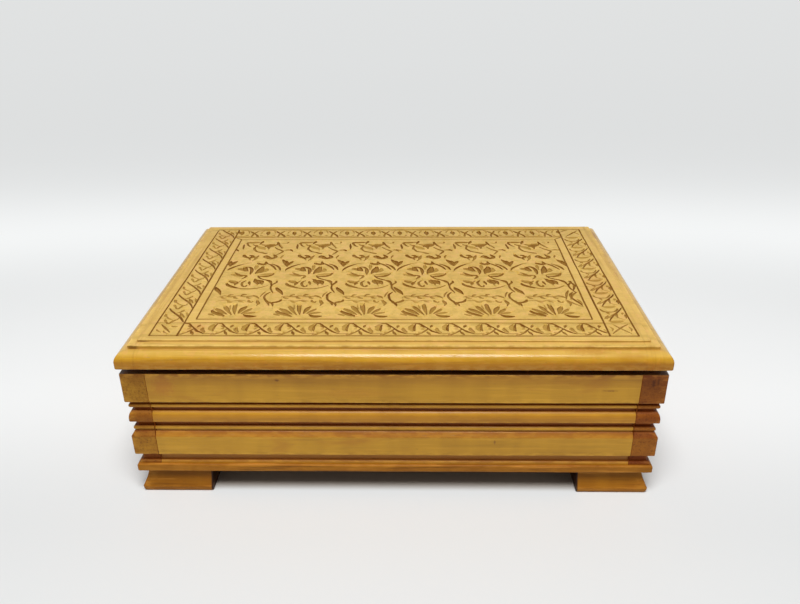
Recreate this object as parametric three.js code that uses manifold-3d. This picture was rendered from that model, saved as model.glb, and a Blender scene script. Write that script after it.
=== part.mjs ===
// Carved wooden box: a moulded case on four flared feet, with a hinged lid.
// Millimetres. +Z is up, +X runs along the length and the front faces -Y.
// The origin is on the floor, under the middle of the case.
// The carving on the lid is surface work and isn't part of these solids.
import * as THREE from "three";
import { mergeVertices } from "three/addons/utils/BufferGeometryUtils.js";
import Module from "manifold-3d";

const wasm = await Module();
wasm.setup();

// Driving dimensions of the case
const CASE_LENGTH = 278.4;
const CASE_DEPTH = 180.8;
const WALL_HEIGHT = 57.2;
const WALL_THICKNESS = 13;
const BASE_THICKNESS = 4.4;
const BASE_TOP_SOFTENING = 1.1;
const BASE_BOTTOM_SOFTENING = 0.6;
const GLUE_LINE = 0.1;

// Driving dimensions of the corner joints
const TONGUE_THICKNESS = 4;
const TONGUE_LENGTH = 6;
const TONGUE_CLEARANCE = 0.15;

// Driving dimensions of the wall moulding, from the top band down.
// Depths are measured in from the outer face.
const UPPER_BAND_HEIGHT = 17;
const UPPER_QUIRK_HEIGHT = 1.9;
const UPPER_QUIRK_DEPTH = 2.8;
const UPPER_BEAD_HEIGHT = 2.4;
const UPPER_BEAD_DEPTH = 1.1;
const MIDDLE_QUIRK_HEIGHT = 2.2;
const MIDDLE_QUIRK_DEPTH = 3.3;
const OVOLO_HEIGHT = 6;
const OVOLO_CURVE_HEIGHT = 4.6;
const OVOLO_TOP_DEPTH = 2.6;
const OVOLO_BOTTOM_DEPTH = 0.3;
const LOWER_QUIRK_HEIGHT = 3.4;
const LOWER_QUIRK_DEPTH = 3.5;
const LOWER_BEAD_HEIGHT = 2.6;
const LOWER_BEAD_DEPTH = 1.4;
const THIN_QUIRK_HEIGHT = 0.7;
const THIN_QUIRK_DEPTH = 2.3;
const CHAMFER_HEIGHT = 2.5;
const CHAMFER_DEPTH = 1.7;
const LOWER_BAND_HEIGHT = 11.6;
const RECESS_DEPTH = 3;
const FILLET_HEIGHT = 1.5;
const FILLET_DEPTH = 1.5;
const FILLET_COVE = 0.6;

// Driving dimensions of the feet
const FOOT_HEIGHT = 14.3;
const FOOT_SIZE = 39.3;
const FOOT_TOP_DEPTH = 4.4;
const FOOT_WAIST_DEPTH = 4;
const FOOT_WAIST_HEIGHT = 9;
const FOOT_TOE_DEPTH = 0.7;
const FOOT_TOE_HEIGHT = 3;
const FOOT_TOE_ROUNDING = 1.3;

// Driving dimensions of the inner liner
const LINER_THICKNESS = 4;
const LINER_CLEARANCE = 0.1;
const LID_SEAT_CLEARANCE = 0.05;

// Driving dimensions of the lid
const LID_OVERHANG = 1.1;
const LID_GAP = 3.1;
const LID_THICKNESS = 12;
const LID_ROUND_RADIUS = 5.2;
const LID_SIDE_HEIGHT = 3.8;
const LID_UNDER_SOFTENING = 0.8;
const LID_FIRST_STEP_IN = 9.9;
const LID_FIRST_STEP_DROP = 1.1;
const LID_SECOND_STEP_IN = 5.9;

// Driving dimensions of the hinges
const HINGE_FROM_END = 53.9;
const HINGE_LENGTH = 26;
const LEAF_DEPTH = 9.5;
const LEAF_THICKNESS = 0.8;
const KNUCKLE_COUNT = 3;
const KNUCKLE_END_GAP = 0.2;
const KNUCKLE_CLEARANCE = 0.2;
const PIN_RADIUS = 0.65;
const PIN_HELD_CLEARANCE = 0.02;
const PIN_RUNNING_CLEARANCE = 0.06;
const PIN_OVERLENGTH = 0.5;
const HINGE_SIDES = 32;

// Driving dimensions of the screws. A screw's length runs from its head's top face to its tip.
const HINGE_SCREW = {
  headRadius: 1.7,
  headHeight: 1.1,
  shankRadius: 0.9,
  length: 7,
  slotWidth: 0.4,
  slotDepth: 0.35,
};
const CASE_SCREW = {
  headRadius: 3,
  headHeight: 1.9,
  shankRadius: 1.5,
  length: 18,
  slotWidth: 0.8,
  slotDepth: 0.8,
};
const FOOT_SCREW = {
  headRadius: 3,
  headHeight: 1.9,
  shankRadius: 1.5,
  length: 20,
  slotWidth: 0.8,
  slotDepth: 0.8,
};
const FOOT_COUNTERBORE_DEPTH = 5;
const SCREW_CLEARANCE = 0.12;
const SCREW_SIDES = 20;
const SCREW_TIP_SHARE = 0.25;
const HINGE_SCREW_EDGE = 5.5;
const HINGE_SCREW_FROM_PIN = 5.6;
const LONG_WALL_SCREW_FROM_END = 68.9;
const HEAD_SUNK = 0.1;
const HOLE_OVERRUN = 1;

// Worked out heights
const FOOT_TOP = FOOT_HEIGHT;
const WALL_BOTTOM = FOOT_TOP + BASE_THICKNESS;
const WALL_TOP = WALL_BOTTOM + WALL_HEIGHT;
const LID_BOTTOM = WALL_TOP + LID_GAP;
const LID_TOP = LID_BOTTOM + LID_THICKNESS;
const PIN_HEIGHT = WALL_TOP + LID_GAP / 2;
const KNUCKLE_RADIUS = LID_GAP / 2;

// Worked out places in plan
const HALF_LENGTH = CASE_LENGTH / 2;
const HALF_DEPTH = CASE_DEPTH / 2;
const PIN_Y = HALF_DEPTH + LID_OVERHANG - KNUCKLE_RADIUS;
const WALL_MIDDLE = (WALL_THICKNESS + RECESS_DEPTH) / 2;
const HINGE_MIDDLE = HALF_LENGTH - HINGE_FROM_END;

const ARC_STEPS = 8;
const BEAD_STEPS = 6;

// Materials
const lidWood = { color: 0xd9b06a, roughness: 0.5, metalness: 0 };
const caseWood = { color: 0xb5853a, roughness: 0.5, metalness: 0 };
const endGrainWood = { color: 0x9a6a2c, roughness: 0.6, metalness: 0 };
const baseWood = { color: 0xa06a2a, roughness: 0.55, metalness: 0 };
const linerWood = { color: 0xc29a5a, roughness: 0.65, metalness: 0 };
const brass = { color: 0xb08d4a, roughness: 0.35, metalness: 1 };
const steel = { color: 0x8a8a86, roughness: 0.4, metalness: 1 };

// A closed geometry as a solid that can be joined and cut.
function solid(geometry) {
  const bare = geometry.clone();
  bare.deleteAttribute("normal");
  bare.deleteAttribute("uv");
  const merged = mergeVertices(bare, 1e-4);
  return new wasm.Manifold(
    new wasm.Mesh({
      numProp: 3,
      vertProperties: new Float32Array(merged.attributes.position.array),
      triVerts: new Uint32Array(merged.index.array),
    }),
  );
}

// A solid as a geometry for a mesh.
function geometryOf(made) {
  const mesh = made.getMesh();
  const geometry = new THREE.BufferGeometry();
  geometry.setAttribute("position", new THREE.BufferAttribute(mesh.vertProperties, 3));
  geometry.setIndex(new THREE.BufferAttribute(mesh.triVerts, 1));
  return geometry;
}

function box(x0, x1, y0, y1, z0, z1) {
  const geometry = new THREE.BoxGeometry(x1 - x0, y1 - y0, z1 - z0);
  geometry.translate((x0 + x1) / 2, (y0 + y1) / 2, (z0 + z1) / 2);
  return solid(geometry);
}

// An outline in Y and Z, pushed along X from x0 to x1.
function alongX(outline, x0, x1) {
  const settings = { depth: x1 - x0, bevelEnabled: false, curveSegments: ARC_STEPS };
  const geometry = new THREE.ExtrudeGeometry(outline, settings);
  const turn = new THREE.Matrix4().makeBasis(
    new THREE.Vector3(0, 1, 0),
    new THREE.Vector3(0, 0, 1),
    new THREE.Vector3(1, 0, 0),
  );
  geometry.applyMatrix4(turn);
  geometry.translate(x0, 0, 0);
  return solid(geometry);
}

// An outline in X and Z, pushed along Y from y0 to y1.
function alongY(outline, y0, y1) {
  const settings = { depth: y1 - y0, bevelEnabled: false, curveSegments: ARC_STEPS };
  const geometry = new THREE.ExtrudeGeometry(outline, settings);
  geometry.rotateX(Math.PI / 2);
  geometry.translate(0, y1, 0);
  return solid(geometry);
}

// Points along part of an ellipse about a centre, from one angle to another.
function arcPoints(centreX, centreY, radiusX, radiusY, from, to, steps) {
  const points = [];
  for (let i = 0; i <= steps; i++) {
    const angle = from + ((to - from) * i) / steps;
    points.push([centreX + radiusX * Math.cos(angle), centreY + radiusY * Math.sin(angle)]);
  }
  return points;
}

// A closed outline from one side's [depth, height] points, mirrored to the other side.
function mirroredOutline(points, halfWidth) {
  const right = points.map(([depth, height]) => new THREE.Vector2(halfWidth - depth, height));
  const left = points.map(([depth, height]) => new THREE.Vector2(depth - halfWidth, height)).reverse();
  return new THREE.Shape([...right, ...left]);
}

// A slab whose four edges all have the same [depth, height] profile, mitred at the corners.
function profiledSlab(points, halfX, halfY) {
  const lengthwise = alongX(mirroredOutline(points, halfY), -halfX, halfX);
  const crosswise = alongY(mirroredOutline(points, halfX), -halfY, halfY);
  return lengthwise.intersect(crosswise);
}

// The wall moulding from bottom to top, as [depth, height] points.
function wallProfile() {
  const points = [];
  let height = WALL_BOTTOM;
  points.push([FILLET_DEPTH, height]);
  height += FILLET_HEIGHT;
  const coveWidth = FILLET_DEPTH - RECESS_DEPTH;
  points.push(...arcPoints(RECESS_DEPTH, height, coveWidth, FILLET_COVE, 0, Math.PI / 2, ARC_STEPS / 2));
  height = WALL_TOP - UPPER_BAND_HEIGHT - UPPER_QUIRK_HEIGHT - UPPER_BEAD_HEIGHT - MIDDLE_QUIRK_HEIGHT;
  height -= OVOLO_HEIGHT + LOWER_QUIRK_HEIGHT + LOWER_BEAD_HEIGHT + THIN_QUIRK_HEIGHT;
  height -= CHAMFER_HEIGHT + LOWER_BAND_HEIGHT;
  points.push([RECESS_DEPTH, height], [0, height]);
  height += LOWER_BAND_HEIGHT;
  points.push([0, height]);
  height += CHAMFER_HEIGHT;
  points.push([CHAMFER_DEPTH, height], [THIN_QUIRK_DEPTH, height]);
  height += THIN_QUIRK_HEIGHT;
  points.push([THIN_QUIRK_DEPTH, height]);
  points.push(...beadPoints(LOWER_BEAD_DEPTH, height, LOWER_BEAD_HEIGHT));
  height += LOWER_BEAD_HEIGHT;
  points.push([LOWER_QUIRK_DEPTH, height]);
  height += LOWER_QUIRK_HEIGHT;
  points.push([LOWER_QUIRK_DEPTH, height], [OVOLO_BOTTOM_DEPTH, height]);
  const curveBase = height + OVOLO_HEIGHT - OVOLO_CURVE_HEIGHT;
  points.push(
    ...arcPoints(
      OVOLO_TOP_DEPTH,
      curveBase,
      OVOLO_BOTTOM_DEPTH - OVOLO_TOP_DEPTH,
      OVOLO_CURVE_HEIGHT,
      0,
      Math.PI / 2,
      ARC_STEPS,
    ),
  );
  height += OVOLO_HEIGHT;
  points.push([MIDDLE_QUIRK_DEPTH, height]);
  height += MIDDLE_QUIRK_HEIGHT;
  points.push([MIDDLE_QUIRK_DEPTH, height]);
  points.push(...beadPoints(UPPER_BEAD_DEPTH, height, UPPER_BEAD_HEIGHT));
  height += UPPER_BEAD_HEIGHT;
  points.push([UPPER_QUIRK_DEPTH, height]);
  height += UPPER_QUIRK_HEIGHT;
  points.push([UPPER_QUIRK_DEPTH, height], [0, height]);
  points.push([0, WALL_TOP]);
  return points;
}

// A half-round bead that starts at a height and reaches out to a depth.
function beadPoints(depth, height, beadHeight) {
  const radius = beadHeight / 2;
  return arcPoints(depth + radius, height + radius, -radius, radius, -Math.PI / 2, Math.PI / 2, BEAD_STEPS);
}

// The base plate's edge from bottom to top, with both arrises softened.
function baseProfile() {
  const low = BASE_BOTTOM_SOFTENING;
  const high = BASE_TOP_SOFTENING;
  const turn = Math.PI / 2;
  return [
    ...arcPoints(low, FOOT_TOP + low, -low, low, -turn, 0, ARC_STEPS / 2),
    ...arcPoints(high, WALL_BOTTOM - high, -high, high, 0, turn, ARC_STEPS / 2),
  ];
}

// The lid's edge from bottom to top: a softened arris, a straight side, the round and two steps.
function lidProfile() {
  const soft = LID_UNDER_SOFTENING;
  const turn = Math.PI / 2;
  const roundCentre = LID_BOTTOM + LID_SIDE_HEIGHT;
  const roundTop = roundCentre + LID_ROUND_RADIUS;
  const firstTread = LID_TOP - LID_FIRST_STEP_DROP;
  return [
    ...arcPoints(soft, LID_BOTTOM + soft, -soft, soft, -turn, 0, ARC_STEPS / 2),
    ...arcPoints(LID_ROUND_RADIUS, roundCentre, -LID_ROUND_RADIUS, LID_ROUND_RADIUS, 0, turn, ARC_STEPS),
    [LID_SECOND_STEP_IN, roundTop],
    [LID_SECOND_STEP_IN, firstTread],
    [LID_FIRST_STEP_IN, firstTread],
    [LID_FIRST_STEP_IN, LID_TOP],
  ];
}

// A countersunk wood screw with its head's top face at the origin and its tip along -Z.
function screwSolid(size) {
  const tip = size.length * SCREW_TIP_SHARE;
  const outline = [
    new THREE.Vector2(0, -size.length),
    new THREE.Vector2(size.shankRadius, -size.length + tip),
    new THREE.Vector2(size.shankRadius, -size.headHeight),
    new THREE.Vector2(size.headRadius, 0),
    new THREE.Vector2(0, 0),
  ];
  const turned = new THREE.LatheGeometry(outline, SCREW_SIDES);
  turned.rotateX(Math.PI / 2);
  const body = solid(turned);
  const slot = box(
    -size.headRadius - HOLE_OVERRUN,
    size.headRadius + HOLE_OVERRUN,
    -size.slotWidth / 2,
    size.slotWidth / 2,
    -size.slotDepth,
    HOLE_OVERRUN,
  );
  return body.subtract(slot);
}

// The space that a screw needs, with its clearance and a straight way out above the head.
function screwHole(size, wayOut) {
  const head = size.headRadius + SCREW_CLEARANCE;
  const shank = size.shankRadius + SCREW_CLEARANCE;
  const seat = -SCREW_CLEARANCE;
  const outline = [
    new THREE.Vector2(0, -size.length - SCREW_CLEARANCE),
    new THREE.Vector2(shank, -size.length - SCREW_CLEARANCE),
    new THREE.Vector2(shank, seat - size.headHeight),
    new THREE.Vector2(head, seat),
    new THREE.Vector2(head, wayOut),
    new THREE.Vector2(0, wayOut),
  ];
  const turned = new THREE.LatheGeometry(outline, SCREW_SIDES);
  turned.rotateX(Math.PI / 2);
  return solid(turned);
}

// A screw or its hole moved to its place, and turned over where its tip points up.
function placed(made, place) {
  const turned = place.up ? made.rotate([180, 0, 0]) : made;
  return turned.translate([place.x, place.y, place.z]);
}

const sides = { left: -1, right: 1 };
const ends = { front: -1, back: 1 };

// Screws through the hinge leaves: two in each leaf, up into the lid or down into the wall.
const hingeScrews = [];
for (const [side, sign] of Object.entries(sides)) {
  const middle = sign * HINGE_MIDDLE;
  for (const [leaf, up] of [["case", false], ["lid", true]]) {
    const face = up ? LID_BOTTOM - LEAF_THICKNESS : WALL_TOP + LEAF_THICKNESS;
    const sunk = up ? HEAD_SUNK : -HEAD_SUNK;
    for (const [index, along] of [-1, 1].entries()) {
      hingeScrews.push({
        name: `hinge_${side}_${leaf}_screw_${index + 1}`,
        side,
        leaf,
        up,
        x: middle + along * (HINGE_LENGTH / 2 - HINGE_SCREW_EDGE),
        y: PIN_Y - HINGE_SCREW_FROM_PIN,
        z: face + sunk,
      });
    }
  }
}

// Screws up through the base plate into the walls.
const caseScrews = [];
for (const [end, sign] of Object.entries(ends)) {
  for (const [index, along] of [-1, 1].entries()) {
    caseScrews.push({
      name: `wall_${end}_screw_${index + 1}`,
      wall: end,
      up: true,
      x: along * (HALF_LENGTH - LONG_WALL_SCREW_FROM_END),
      y: sign * (HALF_DEPTH - WALL_MIDDLE),
      z: FOOT_TOP + HEAD_SUNK,
    });
  }
}
for (const [side, sign] of Object.entries(sides)) {
  caseScrews.push({
    name: `wall_${side}_screw`,
    wall: side,
    up: true,
    x: sign * (HALF_LENGTH - WALL_MIDDLE),
    y: 0,
    z: FOOT_TOP + HEAD_SUNK,
  });
}

// One screw up through each foot, far enough in to reach the side wall above it.
const footScrews = [];
for (const [end, endSign] of Object.entries(ends)) {
  for (const [side, sideSign] of Object.entries(sides)) {
    footScrews.push({
      name: `foot_${end}_${side}_screw`,
      foot: `${end}_${side}`,
      wall: side,
      up: true,
      x: sideSign * (HALF_LENGTH - WALL_MIDDLE),
      y: endSign * (HALF_DEPTH - FOOT_SIZE / 2),
      z: FOOT_COUNTERBORE_DEPTH,
    });
  }
}

function cutHoles(made, screws, size, wayOut) {
  let cut = made;
  for (const screw of screws) {
    cut = cut.subtract(placed(screwHole(size, wayOut), screw));
  }
  return cut;
}

// The four walls, cut from one moulded ring.
function makeWalls() {
  const innerX = HALF_LENGTH - WALL_THICKNESS;
  const innerY = HALF_DEPTH - WALL_THICKNESS;
  const past = HOLE_OVERRUN;
  const cavity = box(-innerX, innerX, -innerY, innerY, WALL_BOTTOM - past, WALL_TOP + past);
  const ring = profiledSlab(wallProfile(), HALF_LENGTH, HALF_DEPTH).subtract(cavity);
  const walls = {};
  const endX = innerX - GLUE_LINE;
  const tongueMiddle = (WALL_THICKNESS + LOWER_QUIRK_DEPTH) / 2;
  for (const [end, sign] of Object.entries(ends)) {
    const outer = sign * (HALF_DEPTH + past);
    const inner = sign * (innerY - past);
    const low = Math.min(outer, inner);
    const high = Math.max(outer, inner);
    const slab = box(-endX, endX, low, high, WALL_BOTTOM - past, WALL_TOP + past);
    const middle = sign * (HALF_DEPTH - tongueMiddle);
    const half = TONGUE_THICKNESS / 2;
    const reach = innerX + TONGUE_LENGTH;
    const tongue = box(-reach, reach, middle - half, middle + half, WALL_BOTTOM, WALL_TOP);
    walls[end] = ring.intersect(slab).add(tongue);
  }
  for (const [side, sign] of Object.entries(sides)) {
    const outer = sign * (HALF_LENGTH + past);
    const inner = sign * innerX;
    const depth = HALF_DEPTH + past;
    let wall = ring.intersect(
      box(Math.min(outer, inner), Math.max(outer, inner), -depth, depth, WALL_BOTTOM - past, WALL_TOP + past),
    );
    for (const endSign of Object.values(ends)) {
      const middle = endSign * (HALF_DEPTH - tongueMiddle);
      const half = TONGUE_THICKNESS / 2 + TONGUE_CLEARANCE;
      const grooveEnd = sign * (innerX + TONGUE_LENGTH + TONGUE_CLEARANCE);
      const mouth = sign * (innerX - past);
      wall = wall.subtract(
        box(
          Math.min(grooveEnd, mouth),
          Math.max(grooveEnd, mouth),
          middle - half,
          middle + half,
          WALL_BOTTOM - past,
          WALL_TOP + past,
        ),
      );
    }
    walls[side] = wall;
  }
  for (const name of Object.keys(walls)) {
    const caseOnes = caseScrews.filter((s) => s.wall === name);
    const footOnes = footScrews.filter((s) => s.wall === name);
    walls[name] = cutHoles(walls[name], caseOnes, CASE_SCREW, HOLE_OVERRUN);
    walls[name] = cutHoles(walls[name], footOnes, FOOT_SCREW, HOLE_OVERRUN);
  }
  walls.back = cutHoles(walls.back, hingeScrews.filter((s) => !s.up), HINGE_SCREW, HOLE_OVERRUN);
  return walls;
}

function makeBase() {
  const plate = profiledSlab(baseProfile(), HALF_LENGTH, HALF_DEPTH);
  const bored = cutHoles(plate, caseScrews, CASE_SCREW, HOLE_OVERRUN);
  return cutHoles(bored, footScrews, FOOT_SCREW, HOLE_OVERRUN);
}

// The outline of a foot's flared outer side and flat inner side, outwards along +X.
function footOutline(outer) {
  const shape = new THREE.Shape();
  const inner = outer - FOOT_SIZE;
  const toe = FOOT_TOE_ROUNDING;
  shape.moveTo(inner, 0);
  shape.lineTo(outer - FOOT_TOE_DEPTH - toe, 0);
  shape.quadraticCurveTo(outer - FOOT_TOE_DEPTH, 0, outer - FOOT_TOE_DEPTH, FOOT_TOE_HEIGHT);
  shape.quadraticCurveTo(outer - FOOT_WAIST_DEPTH, FOOT_WAIST_HEIGHT, outer - FOOT_TOP_DEPTH, FOOT_TOP);
  shape.lineTo(inner, FOOT_TOP);
  return shape;
}

// One foot, flared towards its own corner.
function makeFoot(foot) {
  const past = HOLE_OVERRUN;
  const lengthwise = alongX(footOutline(HALF_DEPTH), HALF_LENGTH - FOOT_SIZE, HALF_LENGTH + past);
  const crosswise = alongY(footOutline(HALF_LENGTH), HALF_DEPTH - FOOT_SIZE, HALF_DEPTH + past);
  const corner = lengthwise.intersect(crosswise);
  const [end, side] = foot.split("_");
  const turned = sides[side] < 0 ? corner.mirror([1, 0, 0]) : corner;
  const facing = ends[end] < 0 ? turned.mirror([0, 1, 0]) : turned;
  return cutHoles(facing, footScrews.filter((s) => s.foot === foot), FOOT_SCREW, FOOT_SCREW.length);
}

// The liner: four thin boards inside the walls, standing proud of them up to the lid.
function makeLiners() {
  const outerX = HALF_LENGTH - WALL_THICKNESS - LINER_CLEARANCE;
  const outerY = HALF_DEPTH - WALL_THICKNESS - LINER_CLEARANCE;
  const top = LID_BOTTOM - LID_SEAT_CLEARANCE;
  const liners = {};
  for (const [end, sign] of Object.entries(ends)) {
    const near = sign * (outerY - LINER_THICKNESS);
    const far = sign * outerY;
    liners[end] = box(-outerX, outerX, Math.min(near, far), Math.max(near, far), WALL_BOTTOM, top);
  }
  const innerY = outerY - LINER_THICKNESS - LINER_CLEARANCE;
  for (const [side, sign] of Object.entries(sides)) {
    const near = sign * (outerX - LINER_THICKNESS);
    const far = sign * outerX;
    liners[side] = box(Math.min(near, far), Math.max(near, far), -innerY, innerY, WALL_BOTTOM, top);
  }
  return liners;
}

function makeLid() {
  const panel = profiledSlab(lidProfile(), HALF_LENGTH + LID_OVERHANG, HALF_DEPTH + LID_OVERHANG);
  return cutHoles(panel, hingeScrews.filter((s) => s.up), HINGE_SCREW, HOLE_OVERRUN);
}

// A knuckle's round outline about the pin, as an outline in Y and Z.
function circleOutline(radius) {
  return new THREE.Shape(
    arcPoints(PIN_Y, PIN_HEIGHT, radius, radius, 0, 2 * Math.PI, HINGE_SIDES)
      .slice(0, -1)
      .map(([y, z]) => new THREE.Vector2(y, z)),
  );
}

// One leaf of a hinge: a plate with knuckles rolled round the pin. The case leaf has the outer knuckles.
function makeLeaf(side, leaf) {
  const middle = sides[side] * HINGE_MIDDLE;
  const start = middle - HINGE_LENGTH / 2;
  const pitch = HINGE_LENGTH / KNUCKLE_COUNT;
  const isCase = leaf === "case";
  const low = isCase ? WALL_TOP : LID_BOTTOM - LEAF_THICKNESS;
  const high = low + LEAF_THICKNESS;
  const boreClearance = isCase ? PIN_HELD_CLEARANCE : PIN_RUNNING_CLEARANCE;
  const notchEdge = PIN_Y - KNUCKLE_RADIUS - KNUCKLE_CLEARANCE;
  let made = box(start, start + HINGE_LENGTH, PIN_Y - LEAF_DEPTH, notchEdge, low, high);
  for (let i = 0; i < KNUCKLE_COUNT; i++) {
    if ((i % 2 === 0) !== isCase) {
      continue;
    }
    const from = start + i * pitch + (i > 0 ? KNUCKLE_END_GAP / 2 : 0);
    const to = start + (i + 1) * pitch - (i < KNUCKLE_COUNT - 1 ? KNUCKLE_END_GAP / 2 : 0);
    made = made.add(box(from, to, notchEdge - KNUCKLE_CLEARANCE, PIN_Y, low, high));
    made = made.add(alongX(circleOutline(KNUCKLE_RADIUS), from, to));
  }
  const bore = circleOutline(PIN_RADIUS + boreClearance);
  made = made.subtract(alongX(bore, start - HOLE_OVERRUN, start + HINGE_LENGTH + HOLE_OVERRUN));
  const screws = hingeScrews.filter((s) => s.side === side && s.leaf === leaf);
  return cutHoles(made, screws, HINGE_SCREW, HOLE_OVERRUN);
}

function makePin(side) {
  const middle = sides[side] * HINGE_MIDDLE;
  const half = HINGE_LENGTH / 2 + PIN_OVERLENGTH;
  return alongX(circleOutline(PIN_RADIUS), middle - half, middle + half);
}

const object = new THREE.Group();

function addNode(group, name, made, look) {
  const mesh = new THREE.Mesh(geometryOf(made), new THREE.MeshStandardMaterial(look));
  mesh.name = name;
  group.add(mesh);
}

const caseGroup = new THREE.Group();
const lidGroup = new THREE.Group();
object.add(caseGroup, lidGroup);

for (const [name, made] of Object.entries(makeWalls())) {
  addNode(caseGroup, `wall_${name}`, made, name in sides ? endGrainWood : caseWood);
}
addNode(caseGroup, "base_plate", makeBase(), baseWood);
for (const screw of footScrews) {
  addNode(caseGroup, `foot_${screw.foot}`, makeFoot(screw.foot), baseWood);
  addNode(caseGroup, screw.name, placed(screwSolid(FOOT_SCREW), screw), steel);
}
for (const [name, made] of Object.entries(makeLiners())) {
  addNode(caseGroup, `liner_${name}`, made, linerWood);
}
for (const screw of caseScrews) {
  addNode(caseGroup, screw.name, placed(screwSolid(CASE_SCREW), screw), steel);
}
addNode(lidGroup, "lid_panel", makeLid(), lidWood);
for (const side of Object.keys(sides)) {
  addNode(caseGroup, `hinge_${side}_case_leaf`, makeLeaf(side, "case"), brass);
  addNode(lidGroup, `hinge_${side}_lid_leaf`, makeLeaf(side, "lid"), brass);
  addNode(caseGroup, `hinge_${side}_pin`, makePin(side), steel);
}
for (const screw of hingeScrews) {
  addNode(screw.up ? lidGroup : caseGroup, screw.name, placed(screwSolid(HINGE_SCREW), screw), brass);
}

export default object;
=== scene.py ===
"""A carved wooden box with a hinged lid, dressed around its packed construction.

Lengths are written in millimetres and become metres where a mesh is made. The front faces -Y.
"""

import math
import random

import bmesh
import bpy
import numpy as np
from mathutils import Matrix, Vector, noise
from mathutils.geometry import delaunay_2d_cdt


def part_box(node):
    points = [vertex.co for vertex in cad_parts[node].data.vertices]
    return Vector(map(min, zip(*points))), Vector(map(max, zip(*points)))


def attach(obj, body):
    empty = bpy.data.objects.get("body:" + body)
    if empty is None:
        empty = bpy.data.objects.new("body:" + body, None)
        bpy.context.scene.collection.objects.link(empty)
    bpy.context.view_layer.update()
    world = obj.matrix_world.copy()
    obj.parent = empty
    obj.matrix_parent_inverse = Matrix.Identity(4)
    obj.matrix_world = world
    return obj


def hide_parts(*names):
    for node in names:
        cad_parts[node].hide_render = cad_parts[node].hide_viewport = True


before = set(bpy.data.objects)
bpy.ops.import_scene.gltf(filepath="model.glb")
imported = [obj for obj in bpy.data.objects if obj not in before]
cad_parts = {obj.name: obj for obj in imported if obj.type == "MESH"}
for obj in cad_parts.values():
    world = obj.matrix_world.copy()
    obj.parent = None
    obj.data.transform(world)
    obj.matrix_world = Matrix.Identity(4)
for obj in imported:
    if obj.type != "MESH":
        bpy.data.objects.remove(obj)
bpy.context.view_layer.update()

MM = 0.001


def node_box(name):
    """A construction node's lowest and highest corners in millimetres."""
    low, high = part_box(name)
    return low / MM, high / MM


# Sizes and heights that the construction gives
PLATE_LOW, PLATE_HIGH = node_box("base_plate")
LID_LOW, LID_HIGH = node_box("lid_panel")
HALF_LENGTH = PLATE_HIGH.x
HALF_DEPTH = PLATE_HIGH.y
FOOT_TOP = PLATE_LOW.z
WALL_BOTTOM = PLATE_HIGH.z
WALL_TOP = node_box("wall_left")[1].z
LID_HALF_LENGTH = LID_HIGH.x
LID_HALF_DEPTH = LID_HIGH.y
LID_BOTTOM = LID_LOW.z
LID_TOP = LID_HIGH.z
FOOT_INNER_X = node_box("foot_front_right")[0].x
FOOT_INNER_Y = -node_box("foot_front_right")[1].y
CASE_SCREW_HEAD = node_box("wall_left_screw")[0].z
FOOT_SCREW_HEAD = node_box("foot_front_left_screw")[0].z
SCREW_HEAD_RADIUS = (node_box("wall_left_screw")[1].x - node_box("wall_left_screw")[0].x) / 2

# The case, as the construction has it
WALL_THICKNESS = 13
GLUE_LINE = 0.1
BASE_TOP_SOFTENING = 1.1
BASE_BOTTOM_SOFTENING = 0.6

# The wall moulding from the top band down, with depths measured in from the outer face
UPPER_BAND_HEIGHT = 17
UPPER_QUIRK_HEIGHT = 1.9
UPPER_QUIRK_DEPTH = 2.8
UPPER_BEAD_HEIGHT = 2.4
UPPER_BEAD_DEPTH = 1.1
MIDDLE_QUIRK_HEIGHT = 2.2
MIDDLE_QUIRK_DEPTH = 3.3
OVOLO_HEIGHT = 6
OVOLO_CURVE_HEIGHT = 4.6
OVOLO_TOP_DEPTH = 2.6
OVOLO_BOTTOM_DEPTH = 0.3
LOWER_QUIRK_HEIGHT = 3.4
LOWER_QUIRK_DEPTH = 3.5
LOWER_BEAD_HEIGHT = 2.6
LOWER_BEAD_DEPTH = 1.4
THIN_QUIRK_HEIGHT = 0.7
THIN_QUIRK_DEPTH = 2.3
CHAMFER_HEIGHT = 2.5
CHAMFER_DEPTH = 1.7
LOWER_BAND_HEIGHT = 11.6
RECESS_DEPTH = 3
FILLET_HEIGHT = 1.5
FILLET_DEPTH = 1.5
FILLET_COVE = 0.6

# The feet
FOOT_TOP_DEPTH = 4.4
FOOT_WAIST_DEPTH = 4
FOOT_WAIST_HEIGHT = 9
FOOT_TOE_DEPTH = 0.7
FOOT_TOE_HEIGHT = 3
FOOT_TOE_ROUNDING = 1.3
FOOT_CORNER = 1.2
FOOT_ARRIS = 0.5

# The screw holes from below
SCREW_CLEARANCE = 0.12
SCREW_HEAD_HEIGHT = 1.9

# The liners: planes just inside their outer faces, where the painted shade starts, and how soft their edges
# are
LINER_SKIN = 0.7
LINER_SKIN_X = HALF_LENGTH - WALL_THICKNESS - LINER_SKIN
LINER_SKIN_Y = HALF_DEPTH - WALL_THICKNESS - LINER_SKIN
LINER_SOFTENING = 0.4

# The lid's edge
LID_ROUND_RADIUS = 5.2
LID_SIDE_HEIGHT = 3.8
LID_UNDER_SOFTENING = 0.8
LID_FIRST_STEP_IN = 9.9
LID_FIRST_STEP_DROP = 1.1
LID_SECOND_STEP_IN = 5.9

# How fine the meshes are, and how their arrises and corners are softened
STATION = 7
LEVEL = 3
ARRIS = 0.32
ARRIS_STEPS = 3
SHARPEST_SMOOTH_TURN = 28
CORNER_RADIUS = 0.7
JOINT_CHAMFER = 0.16
BASE_RIM = 2.4

# Where a profile is hidden it gets dirt and painted shade, and where an arris turns outwards it is rubbed
# paler, which also paints a highlight on it
SHELTER_RAYS = 24
SHELTER_REACH = 9
OFF_THE_FACE = 0.05
WEAR_REACH = 0.45
CORNER_WEAR_AND_HIGHLIGHT = 0.8

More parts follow.
